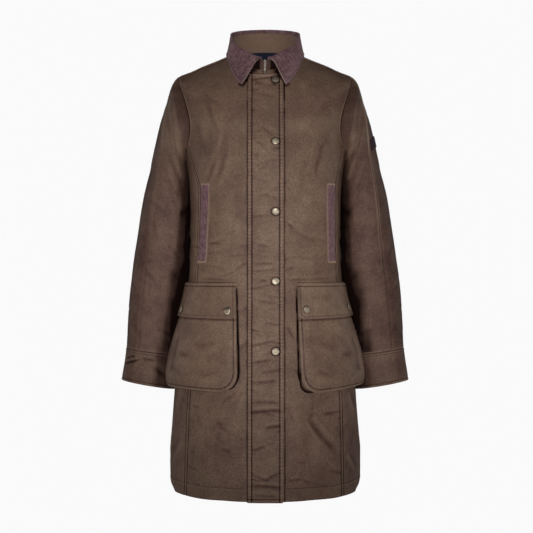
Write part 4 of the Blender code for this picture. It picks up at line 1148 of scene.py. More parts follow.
def sleeveShade(turn, station, points, fromCap):
    # painted shade on the inner side, where the sleeve meets the body, turning to painted black shadow,
    # painted shade streaks below the armhole, and a darker painted tone on the outer and lower sleeve
    at = station[:, None]
    drift = 9 * cloudy(points, 34, 52, 3.2) + 6 * cloudy(points, 11, 53, 4.5)
    outer = (360 - turn) % 360  # degrees behind the overarm seam
    # painted shade behind the overarm seam, down the lower sleeve and on the left sleeve
    darker = 0.17 * ease(outer / 12) * ease((130 - outer) / 50)
    darker = darker + 0.2 * ease((at - 2) / 4) * (1 - 0.6 * ease((at - 10.6) / 0.5))
    onLeft = points[..., 0] > 0
    darker = darker + 0.06 * onLeft * ease(at / 2) * (at < 10.9)
    table = sleeve["dusk"]
    dusk, black = (curveAt(table[:, 0], table[:, k], station)[:, None] for k in (1, 2))
    under = ease((156 - turn + drift) / 30) * ease((at - 1.2) / 1.6)
    paintedShade = ease((turn - dusk + 9 + drift - 20 * onLeft * (at > 10.9)) / 22) * under
    reach = 18 + 1.1 * drift
    streak = ease((turn - 14 + drift) / 24) * ease((160 - turn) / 40) * bell(fromCap[:, None] - 3, reach)
    paintedShadow = 0.55 * ease((turn - black + 4 + drift / 2) / 12) * under
    return 0.6 * paintedShade + paintedShadow + 0.52 * streak * (1 - paintedShade) + darker


def makeSleeves():
    station, fromCap, fromCuff = sleeveStations(
        0, sleeve["cuffStation"] - 0.01, sleeve["capRows"], sleeve["rowStep"])
    near = np.array(sleeve["seamTurns"])
    even = np.linspace(near[-1], 180 - near[-1], round((180 - 2 * near[-1]) / sleeve["turnStep"]) + 1)[1:-1]
    half = np.concatenate([near, even, 180 - near[::-1]])
    for name, side in sides.items():
        flip = np.array([side, 1, 1])
        for part, turn in (("front", half), ("back", half + 180)):
            base, normal = sleeveSmooth(turn, station), sleeveNormal(turn, station)
            relief, extra = sleeveRelief(turn, station, base * flip, sleeve["seed"][name], sleeve["creases"])
            overarm = (turn if part == "front" else 360 - turn) * sleeve["turnSpan"]
            underarm = np.abs(180 - turn) * sleeve["turnSpan"]
            # painted shade in the crease troughs, paler on their ridges
            wearAndShading = np.clip(0.14 * extra, -0.5, 0.2)
            for distance, lines in ((overarm, sleeve["overarm"][part]), (underarm, sleeve["underarm"])):
                work, toned = edgeLines(np.broadcast_to(distance, relief.shape), lines)
                # rubbed pale on the upper arm alone
                pale = np.maximum(toned, 0) * ease((8.2 - station) / 2)[:, None]
                relief, wearAndShading = relief + work, wearAndShading + (np.minimum(toned, 0) + pale) * sleeve["seamWear"][name]
            if part == "front":
                work, toned = edgeLines(np.broadcast_to(overarm, relief.shape), sleeve["fell"])
                upper = (ease((4.6 - station) / 1.2) * sleeve["fellWear"][name])[:, None]
                relief, wearAndShading = relief + work * upper, wearAndShading + toned * upper
            for distance, lines in ((fromCap, sleeve["cap"]), (fromCuff, sleeve["cuffSeam"])):
                relief, wearAndShading = withLines(relief, wearAndShading, distance[:, None], lines)
            wearAndShading = wearAndShading - sleeveShade(turn, station, base * flip, fromCap)
            # the cap is eased into the armhole, which leaves small ripples below the seam
            girth = np.broadcast_to(turn * 1.3, relief.shape)
            relief += pucker(girth, np.broadcast_to(fromCap[:, None], relief.shape), 14, 11, 0.6, 60 + side)
            relief += pucker(girth, np.broadcast_to(fromCuff[:, None], relief.shape), 7, 9, 0.35, 64 + side)
            outer = lifted(base, normal, relief) * flip
            inner = lifted(base, normal, relief - bodyForm["cloth"]) * flip
            clothPiece(f"sleeve_{part}_{name}", outer, inner, wearAndShading)
            if part == "front":
                stitchRun("sleeves", outer[8:, 4], normal[8:, 4] * flip)


def makeCuffs():
    station, fromTop, fromEdge = sleeveStations(
        sleeve["cuffStation"], sleeve["end"], sleeve["cuffRows"], sleeve["cuffStep"])
    turn = np.linspace(0, 360, sleeve["cuffColumns"] + 1)[:-1]
    base, normal = sleeveSmooth(turn, station), sleeveNormal(turn, station)
    for name, side in sides.items():
        flip, creases = np.array([side, 1, 1]), sleeve["cuffCreases"][name]
        relief, extra = sleeveRelief(turn, station, base * flip, sleeve["seed"][name], creases)
        # painted shade in the crease troughs and paler ridges, with the sleeve's painted shade carried on
        # into the cuff
        wearAndShading = np.clip(0.2 * extra, -0.8, 0.3) - sleeveShade(turn, station, base * flip, fromTop + 400)
        for distance, lines in ((fromTop, sleeve["cuffTop"]), (fromEdge, sleeve["cuffEdge"])):
            relief, wearAndShading = withLines(relief, wearAndShading, distance[:, None], lines)
        girth = np.broadcast_to(turn * sleeve["turnSpan"], relief.shape)
        ripple = pucker(girth, np.broadcast_to(fromEdge[:, None], relief.shape), 7, 9.5, 0.4, 70 + side)
        relief = relief + 0.6 + ripple
        outer = lifted(base, normal, relief) * flip
        inner = lifted(base, normal, relief - bodyForm["doubleCloth"]) * flip
        clothPiece(f"cuff_{name}", outer, inner, wearAndShading, closed=True)
        for row in (7, -10):
            ring = np.concatenate([outer[row], outer[row, :1]])
            stitchRun("sleeves", ring, np.concatenate([normal[row], normal[row, :1]]) * flip)


patch = {"stations": (3.55, 4.06), "turns": (-46, -3), "cloth": 1.0, "rim": 3.4}


def makePatch():
    station = np.linspace(*patch["stations"], 22)
    turn = np.linspace(*patch["turns"], 30)
    base = sleeveSmooth(turn, station)
    relief = sleeveRelief(turn, station, base, sleeve["seed"]["left"], sleeve["creases"])[0]
    across = np.abs(np.abs(turn - turn.mean()) - np.ptp(turn) / 2) * sleeve["turnSpan"]
    down = runLengths(base, 0)[:, :1] / mm
    edge = np.minimum(across, np.minimum(down, down[-1] - down))
    rim = 0.7 * bell(edge - patch["rim"] / 2, 0.8) - 0.5 * bell(edge, 0.5)
    normal = sleeveNormal(turn, station)
    outer = lifted(base, normal, relief + rim + bodyForm["layGap"] * 0.6 + patch["cloth"])
    inner = lifted(base, normal, relief + 0.2)
    clothPiece("sleeve_patch", outer, inner, relief * 0, "patch")


makeSleeves()
makeCuffs()
makePatch()
print("sleeves made")

# Collar

collar = {
    "standCloth": 2.0, "fallCloth": 2.2, "standEnd": 3.6, "fallEnd": 11.5, "rollRadius": 2.7, "rollRise": 2.0,
    "topHalfWidth": 70, "topFrontDepth": 73, "topBackDepth": 66,
    "topFront": -18, "topSide": 43, "topBack": 61.5,
    "edge": np.array([  # angle, left lies, right lies, height, clearance
        (11.5, 16.6, 18.8, -31.5, 6.0), (28, 26.9, 28.8, -20.5, 5.5), (45, 44, 46, -10, 5.0),
        (70, 66, 66, -4.3, 2.8), (90, 90, 90, -3.6, 2.2), (135, 135, 135, -12.5, 2.2),
        (180, 180, 180, -21, 2.5),
    ]),
    # across and height, from end to end
    "leafEdge": {"left": (8.6, -19, 45, -76), "right": (10.5, -21, 50.3, -76)},
    # the top of a leaf's front end, drawn in by these degrees
    "reach": {"left": 7.2, "right": 5.2}, "roundOff": 0.2,
    "rubbed": 0.4, "dusk": 0.35,  # paler on the left leaf towards its point; painted shade on both leaves towards the roll
    "raised": {"left": 8, "right": 5},  # how much higher the front of each leaf rolls
    "turnIn": 3.2,  # how far the corduroy reaches down inside the stand
    "drop": 7.4,  # how far the drill inside the stand reaches below the neck seam at the back
    "endAngles": [0, 0.4, 0.8, 1.4, 2.2, 3.0, 3.6, 4.2, 5.2, 6.5, 8.2],  # from the front edge of a leaf
    "angleStep": 2.0,
    "leafRows": 42, "standRows": 22, "standStitchRow": 19,
    "stitchInset": 5.5, "edging": {"pitch": 5.0, "length": 2.4, "width": 2.1, "height": 1.2},
    "lines": [(0, -0.7, 0.8, 0.05), (2.4, 0.3, 1.6, 0.1), (5.5, -0.5, 0.8, -0.3)],
    "sway": [(42, 0.8, 1.0), (17, 0.35, 1.0)],
}


def standTop(angle):
    turn = np.radians(angle)
    cosine = np.cos(turn)
    depth = np.where(cosine > 0, collar["topFrontDepth"], collar["topBackDepth"])
    far = np.where(cosine > 0, collar["topFront"], collar["topBack"])
    height = collar["topSide"] + (far - collar["topSide"]) * np.abs(cosine)
    turned = (angle + 180) % 360 - 180
    raised = np.where(turned > 0, collar["raised"]["left"], collar["raised"]["right"])
    height = height + raised * bell(np.abs(turned) - 36, 18)
    return np.stack([collar["topHalfWidth"] * np.sin(turn), -depth * cosine, height], -1) * mm


def onStand(angle, share, out=0.0):
    # a point of the collar stand: share 0 at the neck seam, 1 at its top edge
    def point(at):
        seam = formPoint(at, 0) + np.array([0, 0, bodyForm["layGap"]]) * mm
        return seam + (standTop(at) - seam) * share

    around = point(angle + 1) - point(angle - 1)
    up = standTop(angle) - formPoint(angle, 0)
    return point(angle) + unit(np.cross(around, up)) * out * mm


def collarAngles(start):
    ends = start + np.array(collar["endAngles"])
    count = round((360 - 2 * ends[-1]) / collar["angleStep"])
    return np.concatenate([ends, np.linspace(ends[-1], 360 - ends[-1], count + 1)[1:-1], 360 - ends[::-1]])


def makeStand():
    angle = collarAngles(collar["standEnd"])
    share = np.linspace(0, 1, collar["standRows"])[:, None, None]
    outer = np.array([onStand(angle, s) for s in share])
    bulge = 0.5 * cloudy(outer, 30, 81)[..., None] * np.sin(math.pi * share) ** 2
    outwards = unit(np.array([onStand(angle, s, 1.0) for s in share]) - outer)
    outer = outer + outwards * bulge * mm
    inner = outer - outwards * collar["standCloth"] * mm
    mirrored = np.minimum(angle, 360 - angle)
    lower = (1 - share) ** 3 * ease((mirrored - 80) / 60)[None, :, None] * collar["drop"]
    inner = inner - unit(standTop(angle) - formPoint(angle, 0)) * lower * mm
    # painted shade across the stand's front and painted black shadow beside the leaves' front ends
    wearAndShading = -0.42 * ease((20 - mirrored) / 8) - 1.0 * ease((mirrored - 6) / 7) * ease((60 - mirrored) / 30)
    wearAndShading = np.broadcast_to(wearAndShading, outer.shape[:2])
    clothPiece("collar_stand", outer, inner, wearAndShading, behind="drill")
    row = collar["standStitchRow"]
    stitchRun("collar", inner[row], -outwards[row])


def rollRows(angle):
    # rows of points from inside the neck to the outside of the roll, with the ways out and up there
    base, top = onStand(angle, 1), standTop(angle)
    out = unit(onStand(angle, 1, 1.0) - base)
    up = unit(top - formPoint(angle, 0))
    cloth, radius = collar["fallCloth"], collar["rollRadius"]
    middle = base + (out * (radius - cloth) + up * collar["rollRise"]) * mm
    rows = [base - (up * collar["turnIn"] + out * (cloth + 0.3)) * mm]
    for turn in np.radians(np.linspace(180, 0, 15)):
        rows.append(middle + (out * math.cos(turn) + up * math.sin(turn)) * radius * mm)
    return rows, out, up


def fallFace(angle):
    # rows of points of the fall: from inside the neck, over the roll and down the leaf to its edge
    mirrored = np.minimum(angle, 360 - angle)
    reach = np.where(angle <= 180, collar["reach"]["left"], -collar["reach"]["right"])
    rows = rollRows(angle - reach * (1 - ease((mirrored - collar["fallEnd"]) / 26)))[0]
    hung, out, up = rollRows(angle)
    cloth, edge = collar["fallCloth"], collar["edge"]
    left, right, height, clear = (curveAt(edge[:, 0], edge[:, k], mirrored) for k in range(1, 5))
    lies = np.where(angle <= 180, left, -right)
    rim = formPoint(lies, height * mm) + formNormal(lies, height * mm) * (clear + cloth)[:, None] * mm
    start, drawn = hung[-1], rows[-1] - hung[-1]
    bend = start - up * 0.42 * np.linalg.norm(rim - start, axis=-1, keepdims=True) + out * 1.4 * mm
    ends = (1 - ease((mirrored - collar["fallEnd"]) / 30))[:, None]  # the front edges run straight
    for share in 1 - (1 - np.linspace(0, 1, collar["leafRows"])[1:]) ** 1.35:  # closer together at the edge
        first, second = start + (bend - start) * share, bend + (rim - bend) * share
        laid = first + (second - first) * share
        straight = start + (rim - start) * share
        rounded = drawn * max(0, 1 - share / collar["roundOff"]) ** 2
        rows.append(laid + (straight - laid) * ends * np.array([1, 0, 0]) + rounded)
    return np.array(rows)


def makeFall():
    angle = collarAngles(collar["fallEnd"])
    face = fallFace(angle)
    normal = gridNormals(face)
    down = runLengths(face[::-1], 0)[::-1] / mm  # from the leaf's edge
    across = runLengths(face, 1) / mm
    across = np.minimum(across, across[:, -1:] - across)
    leaf = ease((np.arange(len(face)) - 16) / 8)[:, None]
    work, wearAndShading = edgeLines(down, collar["lines"])
    ends, endWear = edgeLines(across, collar["lines"])
    relief = (np.minimum(work, 0) + np.minimum(ends, 0) + np.maximum(work, ends).clip(0)) * leaf
    for seed, (size, depth, stretch) in enumerate(collar["sway"], 84):
        relief = relief + depth * cloudy(face, size, seed, stretch) * leaf
    outer = lifted(face, normal, relief)
    inner = lifted(face, normal, np.maximum(relief, -0.6) - collar["fallCloth"])
    inner[0] = face[0] + unit(onStand(angle, 1, 1.0) - onStand(angle, 1)) * collar["fallCloth"] * mm
    rubbed = collar["rubbed"] * ease((75 - angle) / 40) * ease((36 - down) / 32)
    front = np.minimum(angle, 360 - angle)
    # painted shade on the leaves towards the roll
    dusk = collar["dusk"] * ease((down - 40) / 26) * ease((120 - front) / 40) * ease((front - 24) / 20)
    wearAndShading = (wearAndShading + endWear) * leaf + rubbed - dusk
    clothPiece("collar_fall", outer, inner, wearAndShading, "corduroy")
    edge = np.abs(down[:, len(angle) // 2] - collar["stitchInset"]).argmin()
    stitchRun("collar", outer[edge, 6:-6], normal[edge, 6:-6])
    for column in (6, -7):
        stitchRun("collar", outer[20:edge, column], normal[20:edge, column])
        end = 0 if column > 0 else -1
        stitchRun("edging", outer[17:-2, end], normal[17:-2, end], **collar["edging"])


lining = {"cloth": 1.0, "top": -2, "rows": 40, "columns": 60, "depth": -104}


def makeLining():
    heights = np.linspace(lining["top"] * mm, lining["depth"] * mm, lining["rows"])
    limit = backLimit(heights)
    sixth = (360 - 2 * limit) / 6
    first, last = limit + sixth, 360 - limit - sixth
    angle = first[:, None] + (last - first)[:, None] * np.linspace(0, 1, lining["columns"])
    height = np.broadcast_to(heights[:, None], angle.shape)
    behind = bodyForm["cloth"] + bodyForm["seamGap"] + 0.9
    outer = onBody(angle, height, -behind)
    inner = outer - formNormal(angle, height) * lining["cloth"] * mm
    clothPiece("neck_lining", outer, inner, outer[..., 0] * 0, "lining")


makeStand()
makeFall()
makeLining()
print("collar made")

# Storm flap, zip and hand-warmer welts

flap = {
    "left": 37.5, "right": 35.5, "topBelowNeck": 7.4, "belowHem": 1.5, "rowStep": 2.0,
    "edgeColumns": [0, 0.4, 0.9, 1.6, 2.6, 3.8, 5.2, 6.6, 7.8, 8.5, 9.0, 9.5, 10.3, 12, 14.5],
    "columnStep": 3.4,
    "sewnEdge": [(0, -1.2, 1.1, -1.0), (4.6, 0.5, 2.4, 0.2), (9.0, -0.9, 1.1, -1.0)],
    "freeEdge": [(0, -0.6, 0.8, -0.3), (2.2, -0.1, 0.9, 0.1), (5.4, 0.5, 2.2, 0.3), (9.0, -0.9, 1.1, -0.95)],
    # the dark line at the top edge is painted shadow from the gap above it
    "topLines": [(0, -0.6, 0.8, -0.9), (3.4, 0.9, 2.0, 0.3)],
    "hemLines": [(0, -0.6, 0.9, 0.0), (7, -0.6, 1.0, -0.7)],
    # the painted shadow line beside it on the front: strength, place, half width
    "shade": {"left": (2.0, 1.0, 1.1), "right": (0.7, 0.8, 1.0)},
    "studHeights": (-19, -181, -331, -472, -609), "studAcross": 20.5, "studRadius": 8.1,
    "lift": 3.2,  # how far the free edge stands off the front
    "corner": 6, "gap": 0.3,
    "creases": [
        (-25, -64, 22, -56, 2.4, -2.6, 2), (-20, -68, -4, -70, 4.0, -1.6, 0),
        (2, -72, 26, -76, 3.0, -1.2, 0), (-10, -92, 20, -100, 3.7, -1.2, 0),
        (-8, -160, 18, -182, 4.4, -1.4, 0), (-22, -240, 12, -236, 3.7, -1, 0),
        (-24, -342, 8, -339, 2.7, -1.4, 0), (-2, -300, 26, -306, 3.7, -1.2, 0),
        (-16, -398, 8, -402, 2.6, -1.6, 0), (-22, -437, 18, -436, 2.6, -1.7, 0),
        (-26, -453, 26, -448, 3, -1.6, 0), (-28, -488, 18, -477, 2.6, -1.7, 0),
        (-14, -511, 25, -517, 2.6, -1.7, 0), (2, -556, 28, -559, 2.6, -1.4, 0),
        (-29, -568, -10, -573, 2.2, -1.3, 0), (-27, -601, 10, -593, 3, -1.7, 0),
        (-25, -635, 10, -629, 3, -1.6, 0), (-8, -655, 30, -648, 3, -1.4, 0),
        (-28, -674, 22, -671, 3, -1.6, 0), (-26, -713, 18, -712, 3, -1.4, 0),
        (-27, -735, 31, -731, 3.3, -2.8, 3), (3, -763, 31, -759, 3, -2.3, 0),
        (-23, -807, 0, -800, 2.6, -1.9, 0), (-27, -856, 4, -868, 3, -1.9, 0),
        (0, -868, 28, -851, 3, -1.9, 0), (-27, -879, 29, -883, 3, -2.6, 2),
        (-20, -897, 22, -899, 3, -1.4, 0), (10, -210, 28, -204, 3, -1, 0),
    ],
}

flap["creases"] = [  # drawn out towards the stitched edges
    (
        1.2 * x0 - 0.2 * x1, 1.2 * z0 - 0.2 * z1, 1.2 * x1 - 0.2 * x0, 1.2 * z1 - 0.2 * z0,
        width, depth * (0.7 if -520 < z0 < -80 else 0.85), bow,
    )
    for x0, z0, x1, z1, width, depth, bow in flap["creases"]
]
flap["creases"] += scatterCreases(14, [(34, (-26, 30), (-890, -70), 4, 14, (12, 34), (1.9, 3.0), (0.5, 1.3))])


def flapHeights():
    top, bottom = -flap["topBelowNeck"] * mm, bodyForm["hem"] - flap["belowHem"] * mm
    ends = np.array([0, 0.5, 1.2, 2.4, 4, 5.6, 6.4, 7, 7.6, 8.6]) * mm
    count = round((top - bottom) / (flap["rowStep"] * mm))
    even = np.linspace(top - ends[-1], bottom + ends[-1], count)[1:-1]
    return np.concatenate([top - ends, even, bottom + ends[::-1]])


def flapSurface(angle, height):
    # the flap's outer face above the front, in millimetres, with its wear and painted shade and its lift off
    # the front
    base = formPoint(angle, height)
    across, down = base[..., 0] / mm, base[..., 2] / mm
    sewn, free = across + flap["right"], flap["left"] - across
    relief, wearAndShading = edgeLines(sewn, flap["sewnEdge"])
    work, toned = edgeLines(free, flap["freeEdge"])
    relief, wearAndShading = relief + work, wearAndShading + toned
    work, toned = edgeLines(-flap["topBelowNeck"] - height / mm, flap["topLines"])
    relief, wearAndShading = relief + work, wearAndShading + toned
    work, toned = edgeLines((height - bodyForm["hem"]) / mm + flap["belowHem"], flap["hemLines"])
    relief, wearAndShading = relief + work, wearAndShading + toned
    ripple = pucker(down, np.abs(sewn - 4.5), 4.5, 6.6, 1.0, 90)
    ripple = ripple + pucker(down, np.abs(free - 5.4), 4.5, 6.8, 1.0, 93)
    relief, wearAndShading = relief + ripple, wearAndShading + 0.35 * ripple
    placed = creaseRelief(across, down, flap["creases"])
    creased = placed + 0.45 * cloudy(base, 22, 95) + 0.3 * cloudy(base, 9, 96)
    loose = 0.5 + 0.9 * np.clip(0.5 + cloudy(base, 60, 97), 0, 1)
    # held down under the collar
    lift = flap["lift"] * loose * ease((across - 8) / 28) * ease(-height / mm / 70)
    # painted shade in the crease troughs, paler on their ridges
    toned = np.clip(0.27 * placed, -0.65, 0.3)
    # painted shadow under the collar leaves
    shade = collarShade(base, "left") * (across > 0) + collarShade(base, "right") * (across <= 0)
    for at in flap["studHeights"]:  # painted shadow in a ring round each stud
        ring = np.hypot(across - flap["studAcross"], height / mm - at) - flap["studRadius"]
        shade = shade + 0.7 * bell(np.maximum(ring, 0), 1.8)
    return relief + creased, wearAndShading + toned - shade, lift


def makeStormFlap():
    heights = flapHeights()[:, None]
    near = np.array(flap["edgeColumns"])
    middle = flap["left"] + flap["right"] - 2 * near[-1]
    count = round(middle / flap["columnStep"]) + 1
    even = np.linspace(-flap["right"] + near[-1], flap["left"] - near[-1], count)
    across = np.concatenate([near - flap["right"], even[1:-1], flap["left"] - near[::-1]])
    # the lower corner of the free edge is rounded
    across = across - cornerCut(flap["corner"], (heights - heights[-1]) / mm) * ease((across + 10) / 40)
    angle = angleAtWidth(across, heights)
    height = np.broadcast_to(heights, angle.shape)
    relief, wearAndShading, lift = flapSurface(angle, height)
    under = bodyForm["seamGap"] + flap["gap"] + lift
    outer = onBody(angle, height, under + np.maximum(bodyForm["doubleCloth"] + relief, 0.5))
    inner = onBody(angle, height, under)
    clothPiece("storm_flap", outer, inner, wearAndShading)
    normals = outward(gridNormals(outer), outer)
    for column in (2, 10, -11, -5):
        stitchRun("flap", outer[:-8, column], normals[:-8, column])
    stitchRun("flap", outer[-8, 10:-4], normals[-8, 10:-4])


zipper = {
    "toothPitch": 3.4, "tooth": (2.5, 1.5, 1.4), "bevel": 0.35, "offset": 1.1,
    "standTop": 0.95, "downTo": -8,  # from there on it lies hidden under the flap
}


def modelTooth():
    bpy.ops.object.select_all(action="DESELECT")
    bpy.ops.mesh.primitive_cube_add(size=1)
    tooth = bpy.context.object
    tooth.scale = [size * mm for size in zipper["tooth"]]
    bpy.ops.object.transform_apply(location=False, rotation=False, scale=True)
    bpy.ops.object.mode_set(mode="EDIT")
    bpy.ops.mesh.select_all(action="SELECT")
    bpy.ops.mesh.bevel(offset=zipper["bevel"] * mm, segments=2)
    bpy.ops.object.mode_set(mode="OBJECT")
    return tooth


def placedCopies(name, source, places, materials):
    # one mesh that holds a copy of the modelled piece at each place
    mesh = source.data
    points = np.array([v.co for v in mesh.vertices])
    pattern = [tuple(face.vertices) for face in mesh.polygons]
    parts = [face.material_index for face in mesh.polygons]
    allPoints, faces = [], []
    for count, place in enumerate(places):
        turned = np.array(place.to_3x3())
        allPoints.append(points @ turned.T + np.array(place.translation))
        faces += [tuple(i + count * len(points) for i in face) for face in pattern]
    made = addMesh(name, np.concatenate(allPoints), faces, materials, smooth=35)
    made.data.polygons.foreach_set("material_index", np.tile(parts, len(places)))
    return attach(made, "root")


def seatMatrix(place, out, up=(0, 0, 1)):
    # a frame at a seat, with Z pointing out of the cloth and X as level as it can be
    z = Vector(out).normalized()
    x = Vector(up).cross(z).normalized()
    y = z.cross(x)
    return Matrix.Translation(Vector(place)) @ Matrix((x, y, z)).transposed().to_4x4()


def makeZip():
    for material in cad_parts["zip"].material_slots:
        material.material = finish["tape"]
    stand = [onStand(np.array([0.0]), share, 0.9)[0] for share in np.linspace(zipper["standTop"], 0, 30)]
    heights = np.linspace(-1, zipper["downTo"], 6) * mm
    front = [onBody(np.array([0.0]), np.array([height]), 0.9)[0] for height in heights]
    line = np.array(stand + front)
    run = runLengths(line, 0)
    places = []
    for count, at in enumerate(np.arange(0.5 * mm, run[-1], zipper["toothPitch"] / 2 * mm)):
        here = Vector([np.interp(at, run, line[:, k]) for k in range(3)])
        there = Vector([np.interp(at + mm, run, line[:, k]) for k in range(3)])
        along = (there - here).normalized()
        out = Vector((1, 0, 0)).cross(along).normalized()
        if out.y > 0:
            out = -out
        side = 1 if count % 2 else -1
        places.append(seatMatrix(here + Vector((side * zipper["offset"] * mm, 0, 0)), out))
    tooth = modelTooth()
    placedCopies("zip_teeth", tooth, places, [finish["nickel"]])
    bpy.data.objects.remove(tooth)


welt = {
    "top": -273, "bottom": -433, "cloth": 1.8,
    "topAngles": {"left": (50.2, 60.5), "right": (43.4, 52.2)},
    "bottomAngles": {"left": (51.9, 63.6), "right": (47.6, 57.6)},
    "rows": 64, "columns": 14, "tackRows": (40, 50), "rubbed": {"left": 0.2, "right": 0.0},
    "stitch": {"pitch": 1.8, "length": 1.2, "width": 0.85, "height": 0.8, "zigzag": 5.5},
}


def makeWelts():
    share = np.linspace(0, 1, welt["rows"])
    for name, side in sides.items():
        ends = [np.array([welt["topAngles"][name][k], welt["bottomAngles"][name][k]]) for k in (0, 1)]
        low, high = (np.interp(share, [0, 1], pair) for pair in ends)
        heights = (welt["top"] + (welt["bottom"] - welt["top"]) * share) * mm
        angle = low[:, None] + (high - low)[:, None] * np.linspace(0, 1, welt["columns"])
        height = np.broadcast_to(heights[:, None], angle.shape)
        across = np.minimum(angle - low[:, None], high[:, None] - angle) * perDegree(angle, height)
        down = np.minimum(heights - heights[-1], heights[0] - heights)[:, None] / mm
        edge = np.minimum(across, down)
        relief = -0.7 * bell(edge, 1.1) + 0.25 * cloudy(formPoint(angle, height), 12, 100 + side)
        lay = bodyForm["layGap"] * 0.5
        outer = onBody(side * angle, height, lay + welt["cloth"] + relief)
        inner = onBody(side * angle, height, lay * 0.4)
        wearAndShading = 0.5 * bell(edge, 0.9) + welt["rubbed"][name]
        clothPiece(f"hand_welt_{name}", outer, inner, wearAndShading, "corduroy")
        normals = outward(gridNormals(outer), outer)
        stitchRun("welts", outer[:, 0], normals[:, 0], **welt["stitch"])
        for row in (0, -1):
            stitchRun("welts", outer[row], normals[row], **welt["stitch"])
        for row in welt["tackRows"]:
            tack = onBody(side * np.linspace(high[row] + 1.5, high[row] + 6, 12), heights[row], 0.1)
            out = np.broadcast_to(formNormal(side * high[row], heights[row]), tack.shape)
            stitchRun("body", tack, outward(out, tack), pitch=1.1, length=1.4)


makeStormFlap()
makeZip()
makeWelts()
print("front fastening made")

# Bellows pockets

pocket = {
    "flapTone": {"left": 0.2, "right": 0.0},  # how far the flap is rubbed
    # inner top, inner bottom, bottom, outer lift
    "rows": {"left": (63, 68, -692, 9), "right": (58, 51, -689, 2)},
    "top": -480, "depth": 207, "corner": 36, "outerTop": 80, "outerBottom": 77,
    "standTop": 3.0, "standBottom": 21, "outerSwing": 4.5, "overhang": 7, "gussetGap": 1.0,
    "flapDepth": 66, "flapOverhang": 0.5, "flapRise": 6, "flapCorner": 11,
    "faceLines": [(0, -0.9, 0.9, 0.15), (2.6, 0.35, 1.6, 0.25), (5.5, -0.55, 0.8, -0.75)],
    "flapLines": [(0, -0.8, 0.9, 0.0), (2.2, 0.25, 1.4, 0.06), (4.6, -0.4, 0.8, -0.25)],
    "spill": {"left": 9, "right": 5},  # how far the gusset sags out of the inner lower corner
    "creases": [  # across from the inner edge and down from the top, in millimetres
        (30, 110, 74, 122, 6, -1.2, 3), (60, 150, 110, 136, 7, -1.4, -3), (112, 90, 118, 188, 6, -1.6, 0),
        (18, 168, 60, 180, 6, -1.2, 0), (90, 176, 128, 166, 6, -1.2, 0), (16, 90, 24, 150, 7, -1.0, 0),
    ],
    "flapCreases": [
        (20, 20, 80, 26, 6, -0.8, 2), (86, 40, 132, 34, 6, -0.9, 0), (44, 50, 60, 66, 5, -0.7, 0),
    ],
    "width": 150,
    "sway": [(48, 0.9), (19, 0.5), (8, 0.2)],  # size, depth of the uneven lie
    "faceEdge": [0, 0.4, 0.9, 1.7, 2.7, 3.8, 4.8, 5.5, 6.2, 7.4, 9.5],  # columns from the sides of the face
    "flapEdge": [0, 0.4, 0.9, 1.6, 2.4, 3.4, 4.1, 4.6, 5.1, 6.2, 8],  # rows and columns from the flap's edges
    "hingeRows": [0, 1.4, 2.4, 3.0, 3.6, 4.6, 7],
    "hingeLines": [(-1.5, 0.5, 1.6, 0.5), (3.0, -0.7, 0.9, -0.85)], "flapTopLines": [(0, -0.5, 0.8, -0.8)],
}
pocket["creases"] += scatterCreases(15, [(20, (12, 138), (84, 196), 30, 40, (22, 60), (2.4, 4), (0.3, 0.9))])
pocket["flapCreases"] += scatterCreases(16, [
    (12, (10, 140), (10, 64), 60, 40, (14, 36), (2.6, 4.5), (0.3, 0.9)),
])


def pocketPlace(across, down, sideName, inset=0.0):
    # the angle and height of a place on the pocket, from its shares across and down
    innerTop, innerBottom, low, lift = pocket["rows"][sideName]
    bottom = low + lift * across + inset
    height = pocket["top"] + (bottom - pocket["top"]) * down
    cut = cornerCut(pocket["corner"] - inset, height - bottom)
    width = bodyColumn(1, height * mm)
    start = np.degrees(np.arcsin(np.clip((innerTop + (innerBottom - innerTop) * down) / width, -1, 1)))
    end = pocket["outerTop"] + (pocket["outerBottom"] - pocket["outerTop"]) * down
    pull = np.degrees((cut + inset) / width)
    return start + pull + (end - start - 2 * pull) * across, height * mm


def pocketStand(down, across=0.0):
    stood = pocket["standTop"] + (pocket["standBottom"] - pocket["standTop"]) * ease(down * 1.15)
    return stood + pocket["outerSwing"] * ease((across - 0.4) / 0.6) * ease(down * 1.1)


def onPocket(sideName, across, down, out, inset=0.0):
    angle, height = pocketPlace(across, down, sideName, inset)
    angle = angle * sides[sideName]
    return lifted(formPoint(angle, height), formNormal(angle, height), out)


def pocketGrid(columns, rows):
    near = np.array(pocket["faceEdge"])
    span = pocket["width"]
    even = np.linspace(near[-1], span - near[-1], columns)[1:-1]
    across = np.concatenate([near, even, span - near[::-1]]) / span
    depth = pocket["depth"]
    corner = depth - pocket["corner"]
    straight = np.linspace(0, corner, rows)[:-1]
    turned = corner + pocket["corner"] * np.sin(np.radians(np.linspace(0, 90, 34)))
    down = np.concatenate([straight, turned]) / depth
    return np.meshgrid(across, down)


